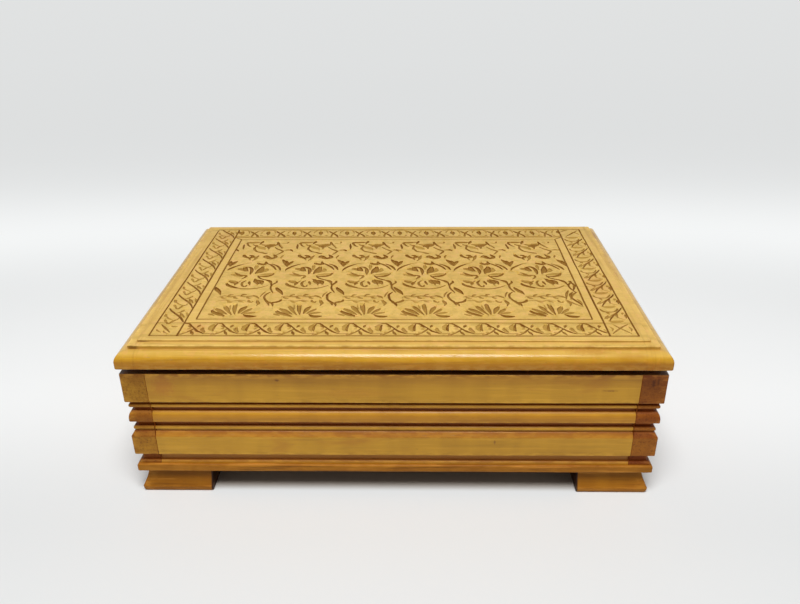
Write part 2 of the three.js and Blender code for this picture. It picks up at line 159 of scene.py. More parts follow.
# The waves that planing and sanding leave: their lengths, and how high the short and the long ones are
SHORT_WAVE = 13
LONG_WAVE = 70
CASE_WAVES = (0.05, 0.14)
LID_WAVES = (0.04, 0.1)

# The carving's scribed frame, on the lid's top
PANEL_X = 105.9
PANEL_BACK = 58.3
PANEL_FRONT = -58.6
BAND_INNER_X = 111.1
BAND_OUTER_X = 125.6
BAND_BACK = 77.1
BAND_FRONT = -77.0
BACK_BAND_FRONT = 62.0
FRONT_BAND_BACK = -62.7
LINE_WIDTH = 0.6
LINE_STEP = 12
LINE_SAMPLE = 3
MARGIN = 0.6
FRONT_BAND_MARGIN = 0.2

# The carving's depths and slopes. A cut has a flat floor where its half width is at least FLOORED_FROM times
# the width of its slope.
CUT_DEPTH = 0.6
LIGHTEST_CUT = 0.45
CUT_SLOPE = 1.15
CUT_SAMPLE = 0.9
NARROWEST_CUT = 0.16
FLOORED_FROM = 1.6
CLEAR_OF_STROKES = 1.4
STROKE_SPREAD = 0.26
STAIN_LEAST = 0.15
STAIN_ON_FLOOR = 0.78
TOP_GRID = 4.2
TOP_GRID_SCATTER = 0.8
TOP_SWELL = 0.03
SWELL_LENGTH = 16
RIM_HOLD = 0.5

# How much the carver's hand varies a stroke's place, width and tone, and a scribed line's
HAND = 0.16
WIDTH_VARIES = (0.88, 1.12)
TONE_VARIES = (0.88, 1.1)
LINE_HAND = 0.1
LINE_WIDTH_VARIES = (0.85, 1.2)

# The woods' colours: each part's light and dark tone
LID_LIGHT = (0.715, 0.465, 0.115)
LID_DARK = (0.60, 0.365, 0.072)
WALL_LIGHT = (0.54, 0.275, 0.014)
WALL_DARK = (0.40, 0.19, 0.007)
LEFT_LIGHT = (0.37, 0.175, 0.012)
LEFT_DARK = (0.27, 0.11, 0.006)
RIGHT_LIGHT = (0.31, 0.11, 0.006)
RIGHT_DARK = (0.20, 0.06, 0.002)
BASE_LIGHT = (0.37, 0.145, 0.008)
BASE_DARK = (0.22, 0.072, 0.003)
LINER_LIGHT = (0.60, 0.36, 0.12)
LINER_DARK = (0.48, 0.26, 0.07)
RED_WOOD = (0.38, 0.11, 0.010)
STAIN = (0.165, 0.053, 0.0)
OLIVE_STAIN = (0.40, 0.25, 0.035)
PINK_STAIN = (0.74, 0.40, 0.15)
EDGE_STAIN = (0.42, 0.235, 0.04)
# The recesses' colour: dirt, with the shade that falls there painted in
RECESS_DIRT_AND_SHADE = (0.23, 0.042, 0.001)
# Painted shade: the liners' outer faces, seen in the gap under the lid
GAP_SHADE = (0.02, 0.003, 0.001)
# The walls' top under the lid: painted shade, with some dirt
TOP_SHADE_AND_DIRT = (0.085, 0.034, 0.007)
# Painted shade: under the base plate and on the feet's inner faces
UNDER_SHADE = (0.03, 0.010, 0.004)
RIGHT_UPPER_TINT = (0.72, 0.6, 0.6)
BRASS = (0.62, 0.42, 0.16)
BRASS_TARNISH = (0.28, 0.17, 0.06)
STEEL = (0.46, 0.45, 0.43)
STEEL_TARNISH = (0.2, 0.17, 0.14)

# The surfaces: the relief of grain and scratches, the step from one board's noise to the next one's, and a
# depth that reaches through the whole box
GRAIN_RELIEF = 0.05
SCRATCH_RELIEF = 0.01
BOARD_STEP = (3.1, 1.7, 2.3)
THROUGH = 1e6

# Dirt along the lid's scribed lines and a shade over its back, as places along Y, and how much smoother its
# round edge and how much rougher its stain is than the rest
SOILED_STRIPS = ((-64.6, -62.4), (-78.4, -75.4), (74.6, 77.4))
SOILED_SOFTNESS = 0.8
SOILED_SHARE = 0.34
BACK_SHADE_RISE = (50, 62)
BACK_SHADE_FALL = (77, 79)
BACK_SHADE = 0.2
ROUND_SMOOTHER = -0.24
STAIN_ROUGHER = 0.55

# Tints of the wood in bands between two heights: above the lid's underside, and below the walls' top.
# Where both heights are the same, the tint is only passed through.
# LID_TINTS paint light and shade on the lid's edge: the round grows darker towards the underside, stays
# paler where its highlight falls, and the risers are darker
LID_TINTS = (
    (0, 0, (0.56, 0.34, 0.05)),
    (4.2, 4.2, (0.66, 0.44, 0.055)),
    (6.4, 6.4, (0.84, 0.68, 0.12)),
    (8, 8, (0.94, 0.88, 0.6)),
    (9.1, 9.1, (0.94, 0.9, 0.75)),
    (9.3, 10.45, (0.8, 0.72, 0.36)),
    (10.7, 11.04, (1, 1, 1)),
    (11.16, 11.6, (0.84, 0.83, 0.66)),
    (11.8, 11.8, (1, 1, 1)),
)
# WALL_TINTS paint shade: the quirks, the chamfer and the recess are darker, and so is a band under the
# walls' top where the lid's shadow falls; the mouldings are also redder
WALL_TINTS = (
    (-57.2, -50.4, (0.95, 0.8, 0.7)),
    (-50.2, -39.1, (1, 1, 1)),
    (-38.7, -38.7, (0.78, 0.64, 0.55)),
    (-36.4, -36.4, (0.62, 0.42, 0.3)),
    (-35.8, -33.1, (1, 1, 1)),
    (-32.7, -29.7, (1, 0.68, 0.34)),
    (-29.3, -25.5, (0.84, 0.72, 0.6)),
    (-24.5, -23.7, (1, 0.95, 0.9)),
    (-23.3, -21.5, (0.66, 0.4, 0.16)),
    (-21.1, -19.1, (1, 0.94, 0.92)),
    (-18.7, -17.2, (0.76, 0.58, 0.42)),
    (-16.9, -8, (1, 1, 1)),
    (-4.5, -4.5, (0.84, 0.79, 0.72)),
    (-1.5, -1.5, (0.74, 0.65, 0.54)),
    (0, 0, (0.6, 0.48, 0.4)),
)
# The same for the end grain, on top of the tints above
# The end grain is darker in the recess, as painted shade, and darker at the ovolo
END_TINTS = (
    (-57.2, -50.6, (0.72, 0.52, 0.44)),
    (-50.2, -30, (1, 0.95, 0.92)),
    (-29.6, -21.4, (0.88, 0.74, 0.64)),
    (-21, 0, (1, 1, 1)),
)

# Marks in the front wall and in the right wall's end grain: middle, half sizes, strength and colour
FRONT_MARKS = (
    ((-58.8, 72.5), (1.6, 1.0), 0.8, (0.16, 0.05, 0.004)),
    ((110.9, 66.6), (5.0, 0.8), 0.65, (0.20, 0.07, 0.004)),
    ((53.6, 34.5), (0.8, 1.7), 0.7, (0.16, 0.05, 0.004)),
    ((-117.5, 69.0), (8.0, 8.0), 0.45, RED_WOOD),
    ((-20.0, 65.0), (26.0, 4.0), 0.2, RED_WOOD),
)
RIGHT_MARKS = (
    ((132.0, 71.0), (1.2, 3.6), 0.6, (0.06, 0.012, 0.001)),
    ((134.2, 72.0), (0.9, 3.0), 0.5, (0.06, 0.012, 0.001)),
)
# The same on the lid's top, with places along X and Y
LID_MARKS = (
    ((-127.6, -81.6), (4.2, 0.35), 0.6, (0.10, 0.035, 0.002)),
    ((-131.4, -85.6), (4.2, 0.35), 0.65, (0.10, 0.035, 0.002)),
    ((140.3, -87.5), (1.2, 6.0), 0.7, (0.12, 0.045, 0.004)),
    ((98.0, -87.5), (16.0, 2.6), 0.4, (0.46, 0.19, 0.03)),
    ((62.0, -86.0), (12.0, 1.6), 0.35, (0.48, 0.22, 0.03)),
    ((135.4, 72.0), (2.6, 17.0), 0.6, (0.34, 0.13, 0.05)),
    ((134.0, 20.0), (1.2, 44.0), 0.45, (0.36, 0.17, 0.06)),
    ((-103.5, -70.0), (8.0, 8.0), 0.4, (0.50, 0.19, 0.03)),
    ((-79.0, -55.6), (6.0, 2.6), 0.45, (0.50, 0.20, 0.04)),
    ((-118.0, 64.0), (9.0, 11.0), 0.3, (0.56, 0.25, 0.07)),
    ((36.0, 86.0), (16.0, 5.0), 0.4, (0.40, 0.17, 0.05)),
    ((118.0, -15.0), (9.0, 22.0), 0.28, (0.54, 0.22, 0.05)),
)

# The stage, with the camera's place in millimetres, and the lamp's and the floor's distances in metres
CAMERA_PLACE = (10.75, -408.29, 273.3)
CAMERA_PITCH = 26.19
CAMERA_YAW = -1.163
CAMERA_ROLL = 0.492
CAMERA_LENS = 33.21
SENSOR_WIDTH = 36
NEAREST_SEEN = 0.01
FARTHEST_SEEN = 50
WORLD_STRENGTH = 0.2
WORLD_SEEN = 0.75
LAMP_POWER = 19.6
LAMP_PLACE = (0.0, -0.56, 1.33)
LAMP_SIZE = 0.72
LAMP_TARGET = (0, 0, 0.05)
# How bright the floor and the backdrop look at each distance from the object, in metres
FLOOR_LEVELS = (
    (0.0, 0.93),
    (0.15, 0.95),
    (0.26, 0.94),
    (0.36, 0.91),
    (0.42, 0.855),
    (0.48, 0.80),
    (0.54, 0.77),
    (0.62, 0.75),
    (0.8, 0.735),
    (1.5, 0.75),
    (3.5, 0.76),
)
FLOOR_HALF_SIZE = 12
FLOOR_ROUGHNESS = 0.8
FLOOR_SHINE = 0.2
FLOOR_SIDEWAYS = 0.35
FLOOR_LIT_TO = 0.16
FLOOR_EVEN_FROM = 0.34
FLOOR_FRONT_SHARE = 0.8
FLOOR_DULL_FROM = 0.02
FLOOR_DULL_TO = -0.13
FLOOR_FAR_FROM = 0.45
FLOOR_FAR_TO = 1.3
FLOOR_TINT = (0.988, 1.003, 1.003)
# The floor under the box, warmed by light from the wood, in millimetres from the middle
UNDER_TINT = (1, 0.8, 0.62)
UNDER_EDGE = 90
UNDER_FULL = 78

# Where the six repeats stand, and where the one below was drawn
ROSETTE_MIDDLES = (-87.6, -52.0, -16.8, 17.0, 51.8, 86.4)
DRAWN_MIDDLE = -16.9
CELL_PITCH = 34.8

# Each stroke is its tone and its points, and each point is x, y and the stroke's width there.
GAZELLE = [
    (0.9, [(-31.4, 49.8, 0.4), (-31.1, 46.5, 1.2), (-30.7, 43.4, 1.1), (-30.6, 41.2, 0.4)]),
    (0.9, [(-28.4, 53.2, 0.6), (-29.7, 51.6, 1.4), (-29.1, 48.9, 1.3), (-27.7, 46.3, 1.1),
           (-26.2, 45.2, 0.4)]),
    (0.75, [(-30.0, 52.8, 0.5), (-25.0, 53.1, 1.1), (-21.6, 52.8, 0.8)]),
    (0.3, [(-29.6, 51.8, 1.0), (-26.2, 51.8, 2.4), (-22.6, 52.2, 1.2)]),
    (1.0, [(-19.4, 55.4, 0.6), (-20.0, 52.8, 1.8), (-20.9, 50.4, 0.8)]),
    (0.85, [(-25.8, 49.2, 0.6), (-24.1, 47.5, 1.4), (-22.7, 47.1, 1.5), (-23.1, 44.4, 1.1),
            (-23.3, 41.4, 1.4), (-22.1, 38.7, 1.3), (-20.6, 36.7, 1.2), (-17.4, 35.2, 1.1),
            (-15.1, 33.8, 1.6), (-13.2, 33.2, 0.8)]),
    (1.0, [(-9.9, 48.8, 1.2), (-11.9, 47.7, 3.6), (-14.3, 46.3, 4.6), (-16.6, 46.3, 1.4)]),
    (1.0, [(-14.1, 45.6, 3.2), (-13.9, 43.4, 1.6), (-13.7, 41.4, 0.5)]),
    (0.4, [(-22.2, 46.2, 1.2), (-19.6, 43.6, 3.4), (-17.0, 41.4, 2.6), (-15.9, 40.0, 0.6)]),
    (0.65, [(-19.4, 49.2, 1.0), (-17.0, 48.0, 2.8), (-13.8, 47.8, 4.6), (-10.6, 49.0, 3.2)]),
    (1.0, [(-9.7, 54.0, 0.6), (-9.0, 51.0, 1.7), (-7.8, 47.8, 0.8), (-6.2, 44.8, 0.6), (-5.0, 42.6, 0.3)]),
    (0.45, [(-7.6, 49.0, 0.4), (-6.4, 46.4, 0.8), (-4.6, 43.2, 0.3)]),
    (0.8, [(-10.4, 44.6, 0.5), (-8.0, 41.4, 0.9), (-5.7, 39.1, 1.3), (-3.8, 37.1, 1.3), (-4.7, 34.4, 1.2),
           (-6.3, 31.8, 0.6)]),
    (0.7, [(-2.7, 54.0, 0.4), (-2.7, 52.4, 1.1), (-3.0, 51.0, 0.4)]),
    (0.35, [(-7.0, 51.6, 0.5), (-5.4, 51.3, 1.2), (-3.8, 51.0, 0.5)]),
    (1.0, [(-34.6, 40.4, 0.5), (-33.8, 38.9, 1.6), (-33.2, 37.4, 0.5)]),
    (0.5, [(-2.9, 38.8, 0.6), (-0.6, 39.4, 2.0), (2.2, 38.8, 1.2)]),
]
CURLS = [
    (1.0, [(-27.6, 31.8, 0.8), (-27.3, 29.3, 2.2), (-25.7, 27.0, 2.0), (-23.5, 25.9, 1.9),
           (-21.7, 27.5, 2.4), (-22.4, 29.7, 1.9), (-24.4, 30.2, 0.8)]),
    (0.6, [(-23.5, 25.6, 1.4), (-22.8, 23.6, 1.0), (-22.4, 22.4, 0.4)]),
    (0.5, [(-21.0, 29.3, 0.7), (-19.9, 26.6, 1.2), (-19.8, 25.0, 0.4)]),
    (0.7, [(-17.8, 30.4, 0.6), (-18.9, 27.1, 1.8), (-19.2, 24.3, 1.5), (-20.7, 21.4, 0.4)]),
    (1.0, [(-14.8, 27.7, 1.0), (-13.2, 29.2, 1.8), (-11.5, 27.2, 2.2), (-10.3, 25.2, 2.8), (-7.8, 25.7, 2.6),
           (-6.7, 27.5, 2.4), (-7.6, 29.6, 1.8), (-8.9, 31.8, 0.5)]),
    (0.8, [(-14.1, 26.6, 1.0), (-11.7, 25.7, 1.8), (-10.0, 24.4, 1.2)]),
    (0.65, [(-2.2, 30.6, 0.4), (-2.8, 28.4, 1.3), (-3.4, 26.2, 0.5)]),
]
FLOWER_BETWEEN = [
    (0.95, [(-33.0, 13.0, 0.8), (-34.2, 16.8, 2.6), (-35.8, 20.4, 2.2), (-37.4, 23.4, 0.5)]),
    (1.0, [(-33.0, 13.4, 1.2), (-33.4, 16.6, 3.0), (-33.8, 19.4, 1.8), (-34.2, 21.2, 0.5)]),
    (0.95, [(-32.8, 13.2, 0.8), (-31.9, 16.8, 2.4), (-30.8, 19.4, 1.9), (-29.8, 20.8, 0.5)]),
]
CROWN = [
    (1.0, [(-16.0, 18.5, 0.8), (-15.6, 17.0, 2.2), (-14.2, 15.9, 2.4), (-12.4, 15.7, 2.4),
           (-11.0, 16.5, 2.2)]),
    (1.0, [(-11.8, 20.5, 0.4), (-11.5, 18.6, 1.4), (-11.0, 17.0, 2.0)]),
]
ARCS = [
    (0.95, [(-32.9, 6.4, 0.5), (-31.6, 9.4, 1.6), (-28.6, 13.1, 1.3), (-25.0, 16.2, 0.6)]),
    (0.45, [(-25.4, 15.9, 0.6), (-22.6, 17.4, 0.8), (-20.4, 18.0, 0.3)]),
    (1.0, [(-10.4, 17.0, 0.6), (-8.0, 14.8, 1.2), (-5.4, 11.6, 1.4), (-3.3, 7.6, 0.7)]),
    (1.0, [(-7.2, 16.4, 0.6), (-3.9, 13.9, 1.3), (-1.7, 10.6, 1.5), (-0.5, 7.0, 0.6)]),
    (0.95, [(-29.6, -12.2, 0.8), (-28.1, -15.1, 2.1), (-25.6, -17.2, 2.1), (-22.4, -18.9, 1.4)]),
    (0.7, [(-22.8, -18.7, 1.1), (-18.6, -20.2, 1.0), (-13.5, -20.4, 1.1), (-8.8, -19.0, 1.0),
           (-4.1, -15.6, 0.5)]),
]
ROSETTE = [
    (0.95, [(-23.4, 11.6, 0.8), (-22.8, 9.6, 2.6), (-22.0, 7.4, 2.8), (-20.4, 5.0, 0.8)]),
    (0.7, [(-27.4, 8.6, 1.2), (-25.0, 8.2, 3.0), (-22.4, 6.8, 3.0), (-20.6, 5.0, 0.6)]),
    (1.0, [(-22.9, 11.2, 0.7), (-20.2, 11.2, 1.4), (-18.4, 8.4, 1.9), (-17.8, 4.6, 2.0), (-17.8, 1.0, 0.8)]),
    (0.5, [(-16.3, 14.4, 1.2), (-16.1, 11.4, 2.3), (-15.9, 7.4, 0.6)]),
    (1.0, [(-12.0, 12.4, 1.0), (-12.3, 9.4, 3.2), (-12.9, 6.0, 4.2), (-14.8, 1.4, 0.9)]),
    (0.45, [(-9.4, 9.8, 0.8), (-9.2, 6.4, 2.6), (-12.2, 3.0, 1.2)]),
    (0.4, [(-12.2, -0.6, 1.0), (-8.0, 0.4, 3.0), (-4.4, 1.4, 1.2)]),
    (0.45, [(-28.6, 1.0, 0.8), (-26.0, -1.0, 3.2), (-22.4, -2.6, 1.2)]),
    (0.5, [(-28.8, -8.6, 1.2), (-25.6, -10.8, 3.4), (-22.6, -12.4, 1.2)]),
    (0.6, [(-7.8, 6.3, 0.5), (-9.2, 4.8, 1.3), (-10.4, 3.5, 0.5)]),
    (0.8, [(-28.0, 3.1, 0.5), (-25.6, 0.8, 1.4), (-23.3, -1.0, 1.4), (-20.6, -1.4, 1.2), (-19.8, -2.0, 1.3),
           (-20.0, -4.3, 1.3), (-21.5, -6.3, 0.4)]),
    (0.9, [(-3.3, 2.4, 0.8), (-4.9, -0.9, 1.9), (-7.2, -2.6, 2.0), (-11.2, -2.8, 1.0)]),
    (1.0, [(-13.1, -1.2, 0.6), (-11.5, -4.3, 1.0), (-9.4, -6.4, 1.0), (-6.1, -8.2, 1.2), (-4.0, -10.0, 2.2),
           (-2.7, -12.8, 1.0), (-2.2, -16.0, 0.6)]),
    (0.85, [(-28.8, -9.0, 0.6), (-26.8, -11.0, 1.6), (-24.1, -12.1, 1.6)]),
    (0.9, [(-23.4, -10.4, 0.7), (-23.6, -12.8, 2.0), (-23.9, -14.9, 0.8)]),
    (0.7, [(-21.3, -9.0, 0.5), (-22.9, -11.4, 1.2), (-23.6, -12.8, 0.8)]),
    (0.85, [(-18.2, -8.6, 0.6), (-20.0, -11.4, 1.3), (-19.6, -15.3, 1.3), (-18.2, -17.2, 1.3),
            (-17.0, -16.8, 1.2), (-16.8, -14.9, 0.5)]),
    (0.9, [(-16.4, -9.4, 0.5), (-15.8, -12.0, 1.4), (-15.1, -14.5, 0.5)]),
    (1.0, [(-13.4, -7.0, 1.6), (-11.8, -9.8, 4.6), (-10.8, -12.4, 2.6), (-10.6, -14.2, 0.8)]),
    (1.0, [(-11.4, -8.2, 1.6), (-9.2, -10.6, 3.6), (-8.0, -13.6, 1.0)]),
    (0.4, [(-29.3, 1.2, 0.5), (-29.0, 0.2, 1.2), (-28.6, -0.8, 0.5)]),
]
STEMS = [
    (0.9, [(-0.2, -8.8, 0.5), (0.1, -11.4, 1.3), (-1.7, -14.4, 1.0), (-2.2, -17.4, 0.9), (-1.5, -20.8, 1.0),
           (0.3, -25.0, 0.5)]),
    (0.95, [(-1.2, -24.6, 0.5), (-3.1, -27.8, 1.2), (-3.4, -31.3, 1.2), (-2.4, -34.8, 1.2),
            (-0.6, -38.0, 1.5), (0.7, -41.6, 0.6)]),
    (0.6, [(-3.7, -24.2, 0.4), (-5.2, -27.6, 1.0), (-5.8, -31.0, 0.4)]),
]
LEAF_BETWEEN = [
    (1.0, [(-34.4, -18.0, 0.6), (-32.9, -21.2, 2.4), (-31.0, -24.4, 2.5), (-29.5, -27.6, 0.6)]),
]
HOOK_BETWEEN = [
    (0.9, [(-33.6, -38.4, 0.8), (-31.5, -38.0, 1.8), (-29.6, -36.8, 1.8), (-28.6, -34.2, 0.6)]),
    (0.9, [(-34.8, -38.2, 1.2), (-33.2, -39.9, 1.3), (-32.5, -42.4, 0.5)]),
]
TENDRILS = [
    (0.55, [(-29.4, -31.4, 0.5), (-26.4, -30.0, 1.0), (-22.6, -31.2, 1.0), (-18.8, -29.8, 1.0),
            (-14.4, -31.0, 1.0), (-10.4, -29.9, 1.0), (-7.2, -31.0, 0.5)]),
    (0.6, [(-28.4, -31.2, 0.5), (-26.6, -32.8, 1.6), (-24.8, -32.6, 0.5)]),
    (0.6, [(-24.6, -30.4, 0.5), (-23.4, -28.6, 1.6), (-21.8, -28.2, 0.5)]),
    (0.65, [(-21.0, -30.6, 0.5), (-19.8, -32.6, 1.7), (-18.0, -33.1, 0.5)]),
    (0.65, [(-17.2, -30.0, 0.5), (-15.8, -28.2, 1.7), (-14.2, -28.2, 0.5)]),
    (0.6, [(-13.6, -30.8, 0.5), (-12.4, -32.6, 1.6), (-10.8, -32.8, 0.5)]),
    (0.7, [(-10.4, -29.2, 0.6), (-8.6, -30.6, 1.8), (-6.6, -32.6, 0.5)]),
    (0.4, [(-28.8, -36.4, 0.4), (-25.0, -35.2, 0.9), (-21.0, -36.8, 0.9), (-17.0, -35.4, 0.9),
           (-13.0, -36.6, 0.4)]),
    (0.4, [(-23.4, -36.2, 0.5), (-22.0, -38.0, 1.3), (-20.2, -38.6, 0.4)]),
    (0.45, [(-17.4, -35.6, 0.5), (-16.0, -37.2, 1.5), (-14.2, -37.8, 0.5)]),
    (0.6, [(-11.6, -34.9, 0.5), (-11.2, -37.2, 1.5), (-9.6, -38.2, 1.2), (-8.7, -36.6, 0.5)]),
    (0.75, [(-6.9, -35.2, 0.8), (-5.7, -38.4, 2.0), (-5.3, -39.9, 1.4), (-5.9, -42.3, 0.4)]),
]
PALMETTE = [
    (0.9, [(-29.4, -48.3, 1.2), (-27.4, -50.9, 2.4), (-24.3, -53.0, 2.6), (-21.3, -54.8, 1.6)]),
    (0.7, [(-28.2, -45.8, 1.2), (-25.1, -48.3, 2.8), (-22.6, -50.7, 2.4), (-20.0, -53.0, 0.6)]),
    (0.7, [(-23.5, -42.5, 1.2), (-21.9, -45.4, 2.6), (-20.0, -49.3, 1.9), (-17.4, -53.4, 0.5)]),
    (0.35, [(-20.4, -41.5, 0.4), (-20.0, -44.6, 0.8), (-19.4, -46.6, 0.3)]),
    (0.8, [(-17.6, -41.3, 2.2), (-17.2, -45.4, 2.4), (-16.5, -49.3, 1.8), (-15.9, -52.8, 0.4)]),
    (0.75, [(-10.8, -43.0, 0.8), (-12.5, -46.6, 2.8), (-14.0, -51.9, 0.8)]),
    (0.65, [(-7.4, -45.8, 0.8), (-9.5, -48.6, 2.2), (-12.2, -52.0, 0.7)]),
    (0.5, [(-5.0, -50.6, 1.0), (-8.0, -51.4, 2.2), (-11.4, -52.6, 0.7)]),
    (1.0, [(-10.4, -53.6, 0.8), (-8.4, -55.2, 2.4), (-5.4, -55.5, 2.2), (-3.4, -55.0, 0.5)]),
    (0.5, [(-30.6, -52.4, 0.6), (-28.8, -53.2, 1.6), (-26.6, -54.4, 0.6)]),
]
CELL_MOTIFS = (
    GAZELLE,
    CURLS,
    FLOWER_BETWEEN,
    CROWN,
    ARCS,
    ROSETTE,
    STEMS,
    LEAF_BETWEEN,
    TENDRILS,
    PALMETTE,
)

# Sprigs where the pattern runs out at the panel's right edge
EDGE_SPRIGS = [
    (0.85, [(102.4, -9.6, 0.4), (104.6, -14.8, 1.3), (104.0, -18.6, 1.1), (103.0, -22.2, 0.4)]),
    (0.8, [(100.0, -21.8, 0.3), (98.0, -27.0, 1.3), (96.8, -33.8, 0.4)]),
    (0.75, [(104.8, -24.2, 0.4), (101.6, -28.2, 1.2), (99.2, -33.6, 0.3)]),
    (0.6, [(97.2, -35.2, 0.3), (100.2, -39.8, 1.0), (104.4, -43.6, 0.3)]),
    (0.5, [(102.4, -33.4, 0.3), (103.6, -36.4, 1.0), (104.6, -40.0, 0.3)]),
]

# The front band's vine, with x measured from where two stems cross
FRONT_VINE = [
    (1.0, [(-7.4, -63.2, 0.5), (-5.6, -63.4, 1.2), (-3.9, -64.4, 0.9), (-2.1, -66.6, 0.7), (0.0, -69.4, 0.8),
           (2.0, -71.9, 1.2), (3.8, -73.4, 0.9), (6.2, -74.8, 0.4)]),
    (0.45, [(6.0, -74.4, 0.6), (8.6, -74.8, 0.8), (11.0, -74.2, 0.3)]),
    (0.5, [(-4.4, -65.6, 0.4), (-3.2, -67.2, 1.0), (-2.2, -68.2, 0.4)]),
    (0.35, [(-5.6, -72.6, 0.5), (-4.6, -73.4, 1.4), (-3.4, -73.0, 0.5)]),
    (0.35, [(-7.4, -74.6, 0.5), (-6.2, -75.4, 1.4), (-4.8, -75.2, 0.5)]),
    (0.75, [(-7.6, -75.9, 0.4), (-5.2, -75.0, 0.8), (-3.2, -73.4, 0.9), (-1.4, -71.2, 0.9),
            (-0.2, -69.4, 0.5)]),
    (0.85, [(-1.0, -72.2, 0.5), (-0.2, -74.0, 1.5), (0.7, -75.8, 0.5)]),
    (0.42, [(9.2, -64.8, 1.0), (8.5, -67.4, 3.0), (8.6, -69.8, 2.8), (9.2, -71.6, 0.8)]),
    (0.9, [(10.7, -64.4, 0.5), (10.0, -67.0, 1.1), (9.9, -69.6, 1.3), (10.3, -71.6, 0.5)]),
    (0.9, [(2.2, -65.2, 0.5), (1.6, -66.4, 1.6), (1.2, -67.8, 0.5)]),
    (0.55, [(4.2, -67.8, 0.6), (4.5, -69.6, 1.5), (5.3, -71.4, 0.9), (6.4, -73.0, 0.4)]),
    (0.4, [(3.2, -69.4, 0.4), (4.2, -71.8, 0.7), (6.2, -73.8, 0.3)]),
    (0.6, [(-3.6, -64.6, 0.4), (-3.0, -66.2, 1.5), (-2.4, -67.8, 0.5)]),
    (0.4, [(-3.8, -69.6, 0.4), (-3.0, -69.4, 1.2), (-2.2, -69.6, 0.4)]),
]
FRONT_CROSSINGS = 13
FRONT_FIRST = -103.9
FRONT_PITCH = 17.5

# The back band's vine, with x measured from the middle of a berry
BACK_VINE = [
    (1.0, [(-0.5, 73.2, 1.6), (-0.3, 70.8, 2.8), (0.0, 68.6, 2.2), (0.1, 67.2, 0.8)]),
    (0.9, [(5.4, 73.6, 0.5), (6.8, 71.4, 1.5), (8.8, 69.0, 1.2), (10.8, 66.4, 1.5), (11.8, 64.0, 1.4),
           (12.0, 62.6, 0.5)]),
    (0.75, [(10.6, 74.0, 0.5), (9.6, 71.8, 1.2), (8.2, 68.6, 1.1), (7.6, 65.2, 1.2), (7.7, 62.4, 0.6)]),
    (0.6, [(-5.4, 66.8, 0.4), (-4.4, 65.8, 1.3), (-3.2, 65.3, 0.4)]),
    (0.6, [(3.2, 65.3, 0.4), (4.2, 65.8, 1.3), (5.0, 66.8, 0.4)]),
    (0.4, [(-3.2, 74.6, 0.4), (-4.5, 72.6, 0.9), (-4.8, 70.4, 0.4)]),
    (0.4, [(3.2, 74.6, 0.4), (4.4, 72.6, 0.9), (4.7, 70.4, 0.4)]),
    (0.45, [(-7.6, 74.0, 0.5), (-4.4, 75.4, 0.8), (0.0, 75.9, 0.8), (3.4, 75.2, 0.8), (5.6, 73.4, 0.5)]),
    (0.4, [(-6.2, 63.2, 0.5), (-3.0, 63.6, 1.0), (1.0, 63.6, 1.2), (4.6, 63.4, 1.0), (7.6, 64.4, 0.5)]),
]
BACK_BERRIES = 13
BACK_FIRST = -107.8
BACK_PITCH = 18.22

# The left band: a slanting bar and a scroll in each cell, with y measured from the bar's upper end
LEFT_CELL = [
    (0.9, [(-124.3, 1.0, 0.5), (-122.0, -2.2, 0.9), (-119.0, -5.6, 1.1), (-115.6, -9.4, 1.1),
           (-113.0, -13.4, 0.9), (-111.9, -16.2, 0.4)]),
    (0.65, [(-116.4, -5.0, 0.5), (-115.0, -7.2, 1.7), (-113.2, -9.6, 0.7)]),
    (0.55, [(-124.0, -6.0, 0.6), (-123.5, -8.0, 1.5), (-123.0, -9.8, 0.5)]),
    (0.5, [(-122.6, -12.4, 0.5), (-121.8, -14.0, 1.4), (-120.9, -15.6, 0.6)]),
    (0.55, [(-121.4, -15.0, 0.5), (-119.6, -17.6, 1.1), (-118.4, -16.0, 1.2), (-117.6, -13.8, 1.5),
            (-116.0, -12.6, 0.8), (-115.6, -11.0, 0.4)]),
    (0.55, [(-115.2, -18.6, 0.5), (-115.8, -20.4, 1.4), (-117.6, -22.4, 1.1), (-119.0, -22.6, 0.5)]),
    (0.5, [(-113.4, -4.4, 0.4), (-112.2, -6.0, 1.2), (-111.9, -8.0, 0.5)]),
    (0.4, [(-122.8, -9.0, 0.4), (-120.8, -11.6, 0.9), (-118.2, -13.2, 0.4)]),
]
LEFT_CELLS = 8
LEFT_FIRST = 77.4
LEFT_PITCH = 17.7

# The right band: an arch and a slanting bar in each cell, with y measured from the arch's left end
RIGHT_CELL = [
    (0.65, [(112.6, 1.0, 0.6), (113.1, -1.2, 1.2), (114.6, -2.6, 0.9), (117.2, -3.0, 0.9),
            (119.6, -2.6, 0.9), (121.3, -0.6, 0.9), (122.4, 1.8, 0.4)]),
    (0.85, [(124.6, 2.2, 0.4), (123.0, -0.6, 0.8), (120.8, -3.6, 0.9), (118.6, -6.4, 1.0),
            (116.6, -9.4, 0.9), (115.0, -12.8, 0.4)]),
    (0.5, [(119.2, -4.8, 0.4), (116.6, -7.8, 0.8), (113.4, -11.0, 0.4)]),
    (0.55, [(115.6, -6.9, 0.4), (114.2, -8.6, 1.2), (112.6, -10.6, 0.4)]),
    (0.4, [(113.6, 4.2, 0.6), (116.4, 3.2, 2.8), (119.4, 3.4, 2.6), (122.2, 4.4, 0.7)]),
    (0.6, [(120.6, -4.4, 0.5), (119.9, -7.0, 1.3), (119.8, -9.6, 0.5)]),
    (0.9, [(125.0, -5.6, 0.6), (124.7, -7.6, 2.0), (124.5, -9.6, 0.6)]),
    (0.4, [(123.8, -3.4, 0.5), (123.5, -4.6, 1.3), (123.2, -5.8, 0.5)]),
    (0.45, [(115.4, -3.2, 0.5), (115.9, -4.2, 1.6), (116.2, -5.4, 0.5)]),
    (0.35, [(120.2, -9.6, 0.4), (121.6, -11.0, 1.0), (123.4, -12.0, 0.4)]),
]
RIGHT_CELLS = 8
RIGHT_FIRST = 57.4
RIGHT_PITCH = 17.4

